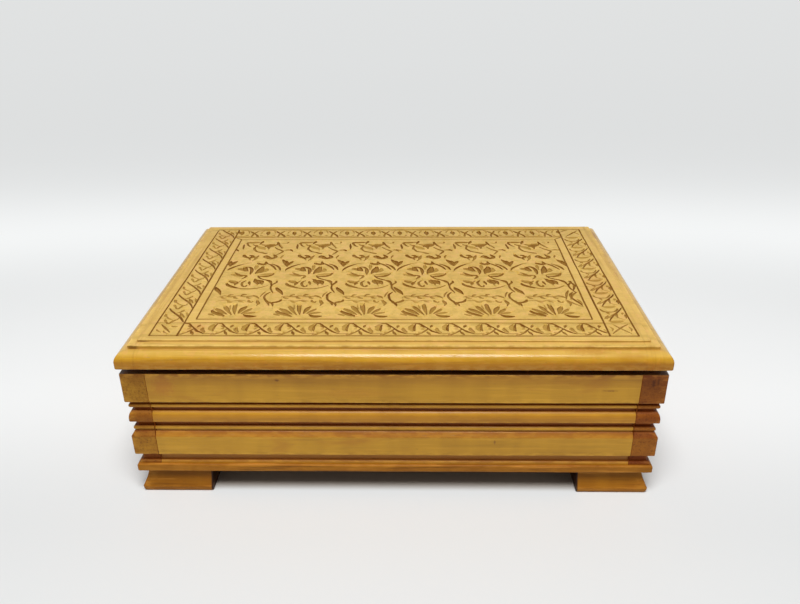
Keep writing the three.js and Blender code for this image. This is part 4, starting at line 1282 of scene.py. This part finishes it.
def make_foot(node, materials):
    """A corner foot that flares outwards and down, with its screw's counterbore from below."""
    bm = start_mesh()
    sign_x = -1 if node.endswith("left") else 1
    sign_y = -1 if "front" in node else 1
    soft = FOOT_ARRIS
    rings = []
    profile = foot_profile()
    for inset, height in profile:
        far_x = HALF_LENGTH - inset
        far_y = HALF_DEPTH - inset
        low_x = FOOT_INNER_X
        low_y = FOOT_INNER_Y
        ring = [(low_x + soft, low_y), ((low_x + far_x) / 2, low_y), (far_x - soft, low_y)]
        turn_x = far_x - FOOT_CORNER
        turn_y = far_y - FOOT_CORNER
        ring += [(far_x, low_y + soft + (turn_y - low_y - soft) * k / 5) for k in range(5)]
        ring += arc((turn_x, turn_y), (FOOT_CORNER, FOOT_CORNER), 0, 90, 5)
        ring += [(turn_x + (low_x + soft - turn_x) * k / 5, far_y) for k in range(1, 6)]
        ring += [(low_x, far_y - soft), (low_x, (low_y + far_y) / 2), (low_x, low_y + soft)]
        rings.append([(sign_x * x, sign_y * y, height) for x, y in ring])
    made = add_rings(bm, rings, profile, range(7, 14))
    undulate(bm)
    level(made[0], 0)
    level(made[-1], FOOT_TOP)
    depth = FOOT_SCREW_HEAD + SCREW_HEAD_HEIGHT + SCREW_CLEARANCE
    pierced_face(bm, made[0], [screw_middle(f"{node}_screw")], 0, depth)
    close_face(bm, made[-1])
    return make_piece(f"{node}_shaped", bm, [node], "case", materials)


# Materials
class Look:
    """A short way to write a material's nodes."""

    def __init__(self, name):
        self.material = bpy.data.materials.new(name)
        self.material.use_nodes = True
        self.tree = self.material.node_tree
        self.shader = self.tree.nodes["Principled BSDF"]
        self.place = self.add("ShaderNodeTexCoord").outputs["Object"]
        self.colour = None

    def put(self, socket, value):
        """Links an input to another node's output, or sets it to a plain value."""
        if isinstance(value, bpy.types.NodeSocket):
            self.tree.links.new(value, socket)
        else:
            socket.default_value = value

    def add(self, kind, inputs=None, **settings):
        """A new node with its settings and inputs."""
        node = self.tree.nodes.new(kind)
        for key, value in settings.items():
            setattr(node, key, value)
        for key, value in (inputs or {}).items():
            self.put(node.inputs[key], value)
        return node

    def stretched(self, sizes, shift=(0, 0, 0)):
        """The place in the frame, in units of the given sizes in millimetres along X, Y and Z."""
        scale = tuple(1 / (MM * size) for size in sizes)
        inputs = {"Vector": self.place, "Scale": scale, "Location": shift}
        return self.add("ShaderNodeMapping", inputs).outputs[0]

    def noise(self, sizes, detail=3, roughness=0.5, shift=(0, 0, 0), distortion=0):
        """Noise whose blots have the given sizes in millimetres along X, Y and Z."""
        inputs = {
            "Vector": self.stretched(sizes, shift),
            "Scale": 1,
            "Detail": detail,
            "Roughness": roughness,
            "Distortion": distortion,
        }
        return self.add("ShaderNodeTexNoise", inputs).outputs["Fac"]

    def between(self, value, low, high, to_low=0.0, to_high=1.0):
        """A value spread from one range to another, and held at its ends."""
        inputs = {"Value": value, "From Min": low, "From Max": high, "To Min": to_low, "To Max": to_high}
        return self.add("ShaderNodeMapRange", inputs, interpolation_type="SMOOTHSTEP").outputs[0]

    def between_mm(self, place, low, high, to_low=0.0, to_high=1.0):
        """The same for a place in the frame and a range in millimetres."""
        return self.between(place, low * MM, high * MM, to_low, to_high)

    def math(self, operation, a, b=0.0):
        """One step of arithmetic on two values."""
        node = self.add("ShaderNodeMath", operation=operation)
        self.put(node.inputs[0], a)
        self.put(node.inputs[1], b)
        return node.outputs[0]

    def plus(self, a, b):
        return self.math("ADD", a, b)

    def minus(self, a, b):
        return self.math("SUBTRACT", a, b)

    def times(self, a, b):
        return self.math("MULTIPLY", a, b)

    def larger(self, a, b):
        return self.math("MAXIMUM", a, b)

    def total(self, noises):
        """The sum of noises, each spread between two of its levels and given a share."""
        tone = 0.0
        for value, low, high, share in noises:
            tone = self.plus(tone, self.times(self.between(value, low, high), share))
        return tone

    def mixed(self, factor, a, b, blend="MIX"):
        """The second colour over the first one by a share."""
        node = self.add("ShaderNodeMix", data_type="RGBA", blend_type=blend)
        self.put(node.inputs["Factor"], factor)
        self.put(node.inputs["A"], a if isinstance(a, bpy.types.NodeSocket) else (*a, 1))
        self.put(node.inputs["B"], b if isinstance(b, bpy.types.NodeSocket) else (*b, 1))
        return node.outputs["Result"]

    def cover(self, share, colour, blend="MIX"):
        """Lays a colour over the material's own colour by a share."""
        self.colour = self.mixed(share, self.colour, colour, blend)

    def ramp(self, value, stops, interpolation="LINEAR"):
        """A colour ramp through stops, each a position from 0 to 1 and a colour."""
        node = self.add("ShaderNodeValToRGB", {"Fac": value})
        node.color_ramp.interpolation = interpolation
        while len(node.color_ramp.elements) < len(stops):
            node.color_ramp.elements.new(0.5)
        for element, (position, colour) in zip(node.color_ramp.elements, stops):
            element.position = position
            element.color = (*colour, 1)
        return node.outputs["Color"]

    def axis(self, name):
        """The place along X, Y or Z, in metres."""
        return self.add("ShaderNodeSeparateXYZ", {0: self.place}).outputs[name]

    def from_middle(self, name):
        """The distance from the box's middle along X or Y, in metres."""
        return self.math("ABSOLUTE", self.axis(name))

    def beside(self, plane_x, plane_y, start, full):
        """Shares that rise from one distance beyond a plane to another, for X and for Y."""
        share_x = self.between_mm(self.from_middle("X"), plane_x + start, plane_x + full)
        share_y = self.between_mm(self.from_middle("Y"), plane_y + start, plane_y + full)
        return share_x, share_y

    def length(self, vector):
        """A vector's length."""
        return self.add("ShaderNodeVectorMath", {0: vector}, operation="LENGTH").outputs["Value"]

    def upward(self):
        """How far a face looks up: 1 on top, 0 on a side and -1 underneath."""
        facing = self.add("ShaderNodeNewGeometry").outputs["Normal"]
        return self.add("ShaderNodeSeparateXYZ", {0: facing}).outputs["Z"]

    def strip(self, place, low, high, soft=0.4):
        """1 between two places in millimetres, and 0 outside them."""
        above = self.between_mm(place, low - soft, low + soft)
        below = self.between_mm(place, high + soft, high - soft)
        return self.times(above, below)

    def attribute(self, name):
        """A value that the mesh carries, such as its dirt or its stain."""
        return self.add("ShaderNodeAttribute", attribute_name=name).outputs["Fac"]

    def finish(self, colour, roughness, height=None, distance=GRAIN_RELIEF):
        """Joins the colour, roughness and a height in millimetres to the shader."""
        self.put(self.shader.inputs["Base Color"], colour)
        self.put(self.shader.inputs["Roughness"], roughness)
        if height is not None:
            bump = self.add("ShaderNodeBump", {"Height": height, "Distance": distance * MM, "Strength": 1.0})
            self.put(self.shader.inputs["Normal"], bump.outputs[0])
        return self.material


def along(axis, length, across):
    """Sizes that are long along the grain and short across it."""
    return tuple(length if i == axis else across for i in range(3))


def board_place(seed):
    """Where a board lies in the endless noise, so that no two boards are alike."""
    return tuple(seed * step for step in BOARD_STEP)


def scaled(colour, factor):
    """A colour made darker or brighter."""
    return tuple(factor * c for c in colour)


def paler(colour, factor):
    """Wood whose varnish is rubbed off."""
    return tuple(min(1.0, factor * c + 0.02) for c in colour)


def red_tone(dark):
    """The redder wood of a smear, between a wood's own dark tone and the common red."""
    return tuple(0.5 * (a + b) for a, b in zip(dark, RED_WOOD))


def wood(name, axis, light, dark, seed, gloss, streaks=0.35, red_from=0.56):
    """Varnished pale wood with its grain along one axis (0 for X, 1 for Y, 2 for Z)."""
    look = Look(name)
    x, y, z = board_place(seed)
    cloud = look.noise((80, 50, 50), 2, 0.5, (x, y, z))
    figure = look.noise(along(axis, 130, 8), 3, 0.55, (x, y, z), 0.4)
    look.lines = look.noise(along(axis, 60, 0.8), 4, 0.6, (x, y, z))
    ripple = look.noise(along(axis, 13, 60), 2, 0.5, (x, y, z))
    look.pores = look.noise(along(axis, 3.2, 0.28), 2, 0.5, (x, y, z))
    flecks = look.noise(along(axis, 5, 1.2), 2, 0.4, (x + 9, y, z))
    smears = look.noise(along(axis, 55, 13), 3, 0.6, (x, y + 4, z), 0.6)
    bands = look.noise(along(axis, 42, 1.7), 3, 0.6, (x, y + 7, z), 0.3)
    noises = (
        (figure, 0.37, 0.63, 0.34),
        (look.lines, 0.38, 0.64, 0.09),
        (cloud, 0.36, 0.64, 0.26),
        (ripple, 0.38, 0.62, 0.31),
    )
    look.colour = look.mixed(look.total(noises), light, dark)
    look.pale = paler(light, 1.45)
    look.cover(look.between(smears, red_from, red_from + 0.16, 0, 0.55), red_tone(dark))
    look.cover(look.between(bands, 0.55, 0.7, 0, streaks), scaled(dark, 0.42))
    look.cover(look.between(bands, 0.44, 0.32, 0, streaks), look.pale)
    look.cover(look.between(look.pores, 0.66, 0.8, 0, 0.35), scaled(dark, 0.35))
    look.cover(look.between(flecks, 0.74, 0.82, 0, 0.6), scaled(dark, 0.35))
    look.gloss = gloss
    return look


def wall_top(look):
    """1 on the flat top of the walls, which gets painted shade from the lid above it, with some dirt."""
    high = look.between_mm(look.axis("Z"), WALL_TOP - 1, WALL_TOP - 0.5)
    return look.times(look.between(look.upward(), 0.5, 0.95), high)


def finish_wood(look, shine, dirt_and_shade_share=0.75, dull=None, top=None):
    """Adds dirt and painted shade in the recesses, the rubbed arrises with their painted highlight, painted
    shade on the walls' top where it is given, the varnish's gloss and the grain's relief.
    """
    patch = look.noise((7, 7, 2.5), 3, 0.6)
    # Painted highlight: outward arrises are made paler, together with their wear, and some get dark spots of
    # dirt
    wear_and_highlight = look.attribute("wear_and_highlight")
    rubbed = look.times(wear_and_highlight, look.between(patch, 0.42, 0.62, 0, 0.75))
    look.cover(rubbed, look.mixed(0.75, look.colour, look.pale))
    look.cover(look.times(wear_and_highlight, look.between(patch, 0.5, 0.36, 0, 0.22)), RECESS_DIRT_AND_SHADE)
    # Painted shade: places that the profile hides are darkened, together with their dirt
    dirt_and_shade = look.between(look.attribute("dirt_and_shade"), 0.18, 0.75, 0, dirt_and_shade_share)
    look.cover(dirt_and_shade, RECESS_DIRT_AND_SHADE)
    # Painted shade on the walls' top under the lid, with some dirt
    if top is not None:
        top_mottle = look.noise((9, 9, 9), 3, 0.6, (6, 1, 2))
        look.cover(top, look.mixed(look.between(top_mottle, 0.35, 0.65), TOP_SHADE_AND_DIRT, scaled(TOP_SHADE_AND_DIRT, 1.5)))
    roughness = look.plus(look.times(look.lines, 0.14), look.gloss - 0.05)
    roughness = look.plus(roughness, look.times(dirt_and_shade, 0.3))
    if dull is not None:
        roughness = look.plus(roughness, dull)
    look.shader.inputs["Specular IOR Level"].default_value = shine
    height = look.minus(look.times(look.lines, 0.5), look.between(look.pores, 0.62, 0.8))
    return look.finish(look.colour, roughness, height)


def tinted_by_height(look, base, tints):
    """Multiplies the wood's colour by tints in bands between two heights in millimetres above a base."""
    low = base + tints[0][0]
    high = base + tints[-1][1]
    share = look.math("DIVIDE", look.minus(look.axis("Z"), low * MM), (high - low) * MM)
    stops = []
    for bottom, top, tint in tints:
        for above in sorted({bottom, top}):
            stops.append(((base + above - low) / (high - low), tint))
    look.cover(1.0, look.ramp(share, stops), "MULTIPLY")


def marked(look, marks, lying=False):
    """Knots and smears: soft ellipses in the plane of X and Z, or of X and Y on a face that lies flat."""
    for (x, up), (half_x, half_up), share, colour in marks:
        if lying:
            place = look.stretched((half_x, half_up, THROUGH), (-x / half_x, -up / half_up, 0))
        else:
            place = look.stretched((half_x, THROUGH, half_up), (-x / half_x, 0, -up / half_up))
        ragged = look.minus(look.noise((1.5, 1.5, 1.5), 2, 0.6), 0.5)
        look.cover(look.between(look.plus(look.length(place), ragged), 1, 0.2, 0, share), colour)


def lid_ground(look, up, beyond_x, border):
    """The stains on the lid's wood: mottled and tooled where it is carved, and streaky along its edges."""
    bare = border
    strips = (
        (look.from_middle("X"), PANEL_X, BAND_INNER_X),
        (up, FRONT_BAND_BACK, PANEL_FRONT),
        (up, PANEL_BACK, BACK_BAND_FRONT),
    )
    for place, low, high in strips:
        bare = look.larger(bare, look.strip(place, low, high))
    field = look.minus(1.0, bare)
    mottle = look.noise((4.5, 4.5, 4.5), 3, 0.6, (3, 8, 1))
    tooled = look.noise((1.5, 1.5, 1.5), 3, 0.65)
    look.cover(look.times(field, look.between(mottle, 0.47, 0.64, 0, 0.34)), OLIVE_STAIN)
    look.cover(look.between(mottle, 0.46, 0.36, 0, 0.35), PINK_STAIN)
    look.cover(look.times(field, look.between(tooled, 0.52, 0.66, 0, 0.3)), OLIVE_STAIN)
    end_stains = look.noise((60, 2.6, 2.6), 3, 0.6, (2, 5, 7), 0.4)
    side_stains = look.noise((2.6, 60, 25), 4, 0.6, (4, 2, 7), 0.2)
    at_end = look.times(look.minus(border, beyond_x), look.between(end_stains, 0.48, 0.66, 0, 0.45))
    at_side = look.times(beyond_x, look.between(side_stains, 0.46, 0.66, 0, 0.5))
    look.cover(look.plus(at_side, at_end), EDGE_STAIN)


def lid_material():
    """The lid's wood: stained strokes, a mottled ground between them, dirt along its edges, and painted
    shade and painted highlight on its moulded edge.
    """
    look = wood("lid_wood", 0, LID_LIGHT, LID_DARK, 1, 0.4, 0.14, 0.62)
    up = look.axis("Y")
    beyond_x = look.between_mm(look.from_middle("X"), BAND_OUTER_X + 0.2, BAND_OUTER_X + 1.5)
    beyond_y = look.between_mm(look.from_middle("Y"), BAND_BACK + 0.2, BAND_BACK + 1.2)
    lid_ground(look, up, beyond_x, look.larger(beyond_x, beyond_y))
    soiled = 0.0
    for low, high in SOILED_STRIPS:
        soiled = look.plus(soiled, look.strip(up, low, high, SOILED_SOFTNESS))
    look.cover(look.times(soiled, SOILED_SHARE), OLIVE_STAIN)
    marked(look, LID_MARKS, lying=True)
    at_back = look.between_mm(up, *BACK_SHADE_RISE, 0, BACK_SHADE)
    past_back = look.between_mm(up, *BACK_SHADE_FALL, 0, BACK_SHADE)
    look.cover(look.minus(at_back, past_back), OLIVE_STAIN)
    # Painted shade and highlight on the moulded edge, by height
    tinted_by_height(look, LID_BOTTOM, LID_TINTS)
    patch = look.noise((2.2, 2.2, 2.2), 3, 0.6)
    stain = look.attribute("stain")
    look.cover(look.times(stain, look.between(patch, 0.36, 0.64, 0.86, 1.0)), STAIN)
    on_round = look.between_mm(look.axis("Z"), LID_TOP - 2.0, LID_TOP - 2.4, 0, ROUND_SMOOTHER)
    dull = look.plus(on_round, look.times(stain, STAIN_ROUGHER))
    return finish_wood(look, 0.28, dirt_and_shade_share=0.6, dull=dull)


def case_wood(name, axis, light, dark, seed, marks=()):
    """A wall's varnished wood, redder in the mouldings and darker there with painted shade, and darkened
    along its top with painted shade and some dirt.
    """
    look = wood(name, axis, light, dark, seed, 0.33, 0.16, 0.57)
    marked(look, marks)
    # Painted shade in the quirks and under the lid, and redder mouldings, by height
    tinted_by_height(look, WALL_TOP, WALL_TINTS)
    return finish_wood(look, 0.36, dirt_and_shade_share=0.76, top=wall_top(look))


def base_material(name, seed, streaks):
    """The duller, redder wood of the base plate and the feet, with painted shade underneath and on the
    feet's inner faces, and bare inside the box.
    """
    look = wood(name, 0, BASE_LIGHT, BASE_DARK, seed, 0.46, streaks, 0.55)
    upward = look.upward()
    # Painted shade on the faces that look down
    look.cover(look.between(upward, -0.6, -0.9), UNDER_SHADE)
    # Painted shade on the feet's inner faces
    inner = look.larger(*look.beside(FOOT_INNER_X, FOOT_INNER_Y, 1, 0.3))
    below = look.between_mm(look.axis("Z"), FOOT_TOP + 0.1, FOOT_TOP - 0.2)
    look.cover(look.times(below, inner), UNDER_SHADE)
    inside = look.times(*look.beside(LINER_SKIN_X, LINER_SKIN_Y, 0, -1))
    look.cover(look.times(look.between(upward, 0.6, 0.9, 0, 0.72), inside), LINER_LIGHT)
    return finish_wood(look, 0.15)


def liner_material(name, axis, seed):
    """Bare pale wood, blackened with painted shade on its outer faces, where they show in the gap under the
    lid.
    """
    look = wood(name, axis, LINER_LIGHT, LINER_DARK, seed, 0.6)
    # Painted shade on the outer faces that show in the gap under the lid
    look.cover(look.larger(*look.beside(LINER_SKIN_X, LINER_SKIN_Y, 0, 0.4)), GAP_SHADE)
    return finish_wood(look, 0.3)


def end_grain_material(name, light, dark, seed, upper_tint=(1, 1, 1), marks=()):
    """End grain: an even speckle, soft clouds and faint ring arcs."""
    look = Look(name)
    shift = board_place(seed)
    cloud = look.noise((8, 8, 8), 3, 0.6, shift)
    specks = look.noise((1.1, 1.1, 1.1), 3, 0.75, shift)
    fine = look.noise((0.45, 0.45, 0.45), 2, 0.6, shift)
    rings = look.noise((40, 40, 2.0), 3, 0.5, shift, 0.5)
    noises = ((cloud, 0.36, 0.64, 0.5), (specks, 0.4, 0.62, 0.5))
    look.colour = look.mixed(look.total(noises), light, dark)
    look.cover(look.between(specks, 0.56, 0.68, 0, 0.6), scaled(dark, 0.4))
    look.cover(look.between(fine, 0.56, 0.68, 0, 0.3), scaled(light, 1.5))
    look.cover(look.between(rings, 0.56, 0.66, 0, 0.25), scaled(light, 1.35))
    marked(look, marks)
    upper_band = WALL_TOP - UPPER_BAND_HEIGHT
    look.cover(look.between_mm(look.axis("Z"), upper_band - 0.5, upper_band), upper_tint, "MULTIPLY")
    # Painted shade in the quirks, the recess and under the lid, by height
    tinted_by_height(look, WALL_TOP, WALL_TINTS)
    tinted_by_height(look, WALL_TOP, END_TINTS)
    look.pale = paler(light, 1.6)
    look.lines = fine
    look.pores = specks
    look.gloss = 0.5
    return finish_wood(look, 0.2, top=wall_top(look))


def metal_material(name, colour, tarnish, roughness):
    """Metal with clouds of tarnish and fine scratches."""
    look = Look(name)
    cloud = look.noise((4, 4, 4), 4, 0.6)
    scratches = look.noise((6, 0.25, 0.5), 3, 0.6)
    tarnished = look.between(cloud, 0.42, 0.68, 0, 0.75)
    look.shader.inputs["Metallic"].default_value = 1.0
    rough = look.plus(look.times(scratches, 0.25), roughness - 0.1)
    return look.finish(look.mixed(tarnished, colour, tarnish), rough, scratches, SCRATCH_RELIEF)


def dress_node(name, material, bevel=0.0):
    """A construction node that stays: its material, its shading and its softened edges."""
    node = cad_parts[name]
    node.data.materials.clear()
    node.data.materials.append(material)
    if bevel:
        modifier = node.modifiers.new("softened edges", "BEVEL")
        modifier.width = bevel * MM
        modifier.segments = 3
        modifier.limit_method = "ANGLE"
        modifier.angle_limit = math.radians(50)
        modifier.harden_normals = True


# The stage: camera, light and floor
def make_camera():
    """The camera that the photograph's edges were fitted with."""
    data = bpy.data.cameras.new("camera")
    data.lens = CAMERA_LENS
    data.sensor_fit = "HORIZONTAL"
    data.sensor_width = SENSOR_WIDTH
    data.clip_start = NEAREST_SEEN
    data.clip_end = FARTHEST_SEEN
    camera = bpy.data.objects.new("camera", data)
    pitch = math.radians(CAMERA_PITCH)
    yaw = math.radians(CAMERA_YAW)
    roll = math.radians(CAMERA_ROLL)
    forward = Vector((math.sin(yaw) * math.cos(pitch), math.cos(yaw) * math.cos(pitch), -math.sin(pitch)))
    level_right = Vector((math.cos(yaw), -math.sin(yaw), 0))
    level_down = forward.cross(level_right)
    right = level_right * math.cos(roll) + level_down * math.sin(roll)
    down = level_down * math.cos(roll) - level_right * math.sin(roll)
    turn = Matrix((right, -down, -forward)).transposed()
    camera.matrix_world = Matrix.Translation(Vector(CAMERA_PLACE) * MM) @ turn.to_4x4()
    bpy.context.scene.collection.objects.link(camera)
    bpy.context.scene.camera = camera


def make_lamp():
    """The one lamp: a soft disk above the box and in front of it."""
    data = bpy.data.lights.new("overhead", "AREA")
    data.shape = "DISK"
    data.size = LAMP_SIZE
    data.energy = LAMP_POWER
    lamp = bpy.data.objects.new("overhead", data)
    lamp.location = LAMP_PLACE
    way = Vector(LAMP_TARGET) - Vector(LAMP_PLACE)
    lamp.rotation_euler = way.to_track_quat("-Z", "Y").to_euler()
    bpy.context.scene.collection.objects.link(lamp)


def make_world():
    """A white world that looks brighter to the camera and in reflections than it lights."""
    world = bpy.data.worlds.new("studio")
    bpy.context.scene.world = world
    world.use_nodes = True
    tree = world.node_tree
    background = tree.nodes["Background"]
    background.inputs["Color"].default_value = (1, 1, 1, 1)
    path = tree.nodes.new("ShaderNodeLightPath")
    seen = tree.nodes.new("ShaderNodeMath")
    seen.operation = "MAXIMUM"
    tree.links.new(path.outputs["Is Camera Ray"], seen.inputs[0])
    tree.links.new(path.outputs["Is Glossy Ray"], seen.inputs[1])
    strength = tree.nodes.new("ShaderNodeMapRange")
    strength.inputs["To Min"].default_value = WORLD_STRENGTH
    strength.inputs["To Max"].default_value = WORLD_SEEN
    tree.links.new(seen.outputs[0], strength.inputs["Value"])
    tree.links.new(strength.outputs[0], background.inputs["Strength"])


def floor_colour(look):
    """The floor's colour by distance from the box, duller in front of it and warmer under it."""
    towards_back = look.axis("Y")
    slower = look.larger(towards_back, look.times(towards_back, FLOOR_SIDEWAYS))
    sideways = look.times(look.axis("X"), FLOOR_SIDEWAYS)
    distance = look.length(look.add("ShaderNodeCombineXYZ", {"X": sideways, "Y": slower}).outputs[0])
    reach = FLOOR_LEVELS[-1][0]
    stops = [(far / reach, scaled(FLOOR_TINT, bright)) for far, bright in FLOOR_LEVELS]
    level_colour = look.ramp(look.math("DIVIDE", distance, reach), stops, "B_SPLINE")
    share = look.between(towards_back, FLOOR_DULL_TO, FLOOR_DULL_FROM, FLOOR_FRONT_SHARE, 1)
    share = look.larger(share, look.between(look.length(look.place), FLOOR_FAR_FROM, FLOOR_FAR_TO))
    look.colour = look.add("ShaderNodeVectorMath", {0: level_colour, 3: share}, operation="SCALE").outputs[0]
    covered_x = look.between_mm(look.from_middle("X"), HALF_LENGTH - 2, FOOT_INNER_X - 8)
    covered_y = look.between_mm(look.from_middle("Y"), UNDER_EDGE, UNDER_FULL)
    look.cover(look.times(covered_x, covered_y), UNDER_TINT, "MULTIPLY")
    return look.colour


def make_floor():
    """A pale floor that takes the box's shadow and fades into a bright background away from it."""
    bm = bmesh.new()
    bmesh.ops.create_grid(bm, x_segments=8, y_segments=8, size=FLOOR_HALF_SIZE)
    mesh = bpy.data.meshes.new("floor")
    bm.to_mesh(mesh)
    bm.free()
    floor = bpy.data.objects.new("floor", mesh)
    bpy.context.scene.collection.objects.link(floor)
    look = Look("floor")
    colour = floor_colour(look)
    look.finish(colour, FLOOR_ROUGHNESS)
    look.shader.inputs["Specular IOR Level"].default_value = FLOOR_SHINE
    squeezed = look.add("ShaderNodeMapping", {"Vector": look.place, "Scale": (FLOOR_SIDEWAYS, 1, 0)})
    even = look.between(look.length(squeezed.outputs[0]), FLOOR_LIT_TO, FLOOR_EVEN_FROM)
    glow = look.add("ShaderNodeEmission", {"Color": colour, "Strength": 1.0}).outputs[0]
    path = look.add("ShaderNodeLightPath")
    seen = look.larger(path.outputs["Is Camera Ray"], path.outputs["Is Glossy Ray"])
    seen = look.larger(seen, path.outputs["Is Transmission Ray"])
    mixer = look.add("ShaderNodeMixShader", {0: look.times(even, seen), 1: look.shader.outputs[0], 2: glow})
    output = next(n for n in look.tree.nodes if n.type == "OUTPUT_MATERIAL")
    look.put(output.inputs["Surface"], mixer.outputs[0])
    mesh.materials.append(look.material)


def main():
    """Builds the stage, the materials and every piece."""
    bpy.context.scene.view_settings.view_transform = "Standard"
    make_camera()
    make_world()
    make_lamp()
    make_floor()

    lid_wood = lid_material()
    front_wood = case_wood("front_wood", 0, WALL_LIGHT, WALL_DARK, 2, FRONT_MARKS)
    back_wood = case_wood("back_wood", 0, WALL_LIGHT, WALL_DARK, 12)
    left_wood = case_wood("left_wood", 1, LEFT_LIGHT, LEFT_DARK, 3)
    right_wood = case_wood("right_wood", 1, RIGHT_LIGHT, RIGHT_DARK, 9)
    left_end = end_grain_material("left_end_grain", LEFT_LIGHT, LEFT_DARK, 5)
    right_end = end_grain_material(
        "right_end_grain", RIGHT_LIGHT, RIGHT_DARK, 10, RIGHT_UPPER_TINT, RIGHT_MARKS
    )
    base_wood = base_material("base_wood", 4, 0.6)
    foot_wood = base_material("foot_wood", 6, 0.4)
    liner_x = liner_material("liner_wood_long", 0, 7)
    liner_y = liner_material("liner_wood_short", 1, 8)
    brass = metal_material("brass", BRASS, BRASS_TARNISH, 0.36)
    steel = metal_material("steel", STEEL, STEEL_TARNISH, 0.4)

    make_lid([lid_wood])
    make_long_wall("wall_front", -1, [front_wood])
    make_long_wall("wall_back", 1, [back_wood])
    make_side_wall("wall_left", -1, [left_wood, left_end])
    make_side_wall("wall_right", 1, [right_wood, right_end])
    make_base([base_wood])
    for end in ("front", "back"):
        for side in ("left", "right"):
            make_foot(f"foot_{end}_{side}", [foot_wood])
    for side in ("front", "back", "left", "right"):
        material = liner_x if side in ("front", "back") else liner_y
        dress_node(f"liner_{side}", material, LINER_SOFTENING)
    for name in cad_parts:
        if name.endswith("_pin") or ("screw" in name and "hinge" not in name):
            dress_node(name, steel)
        elif "hinge" in name:
            dress_node(name, brass)


main()
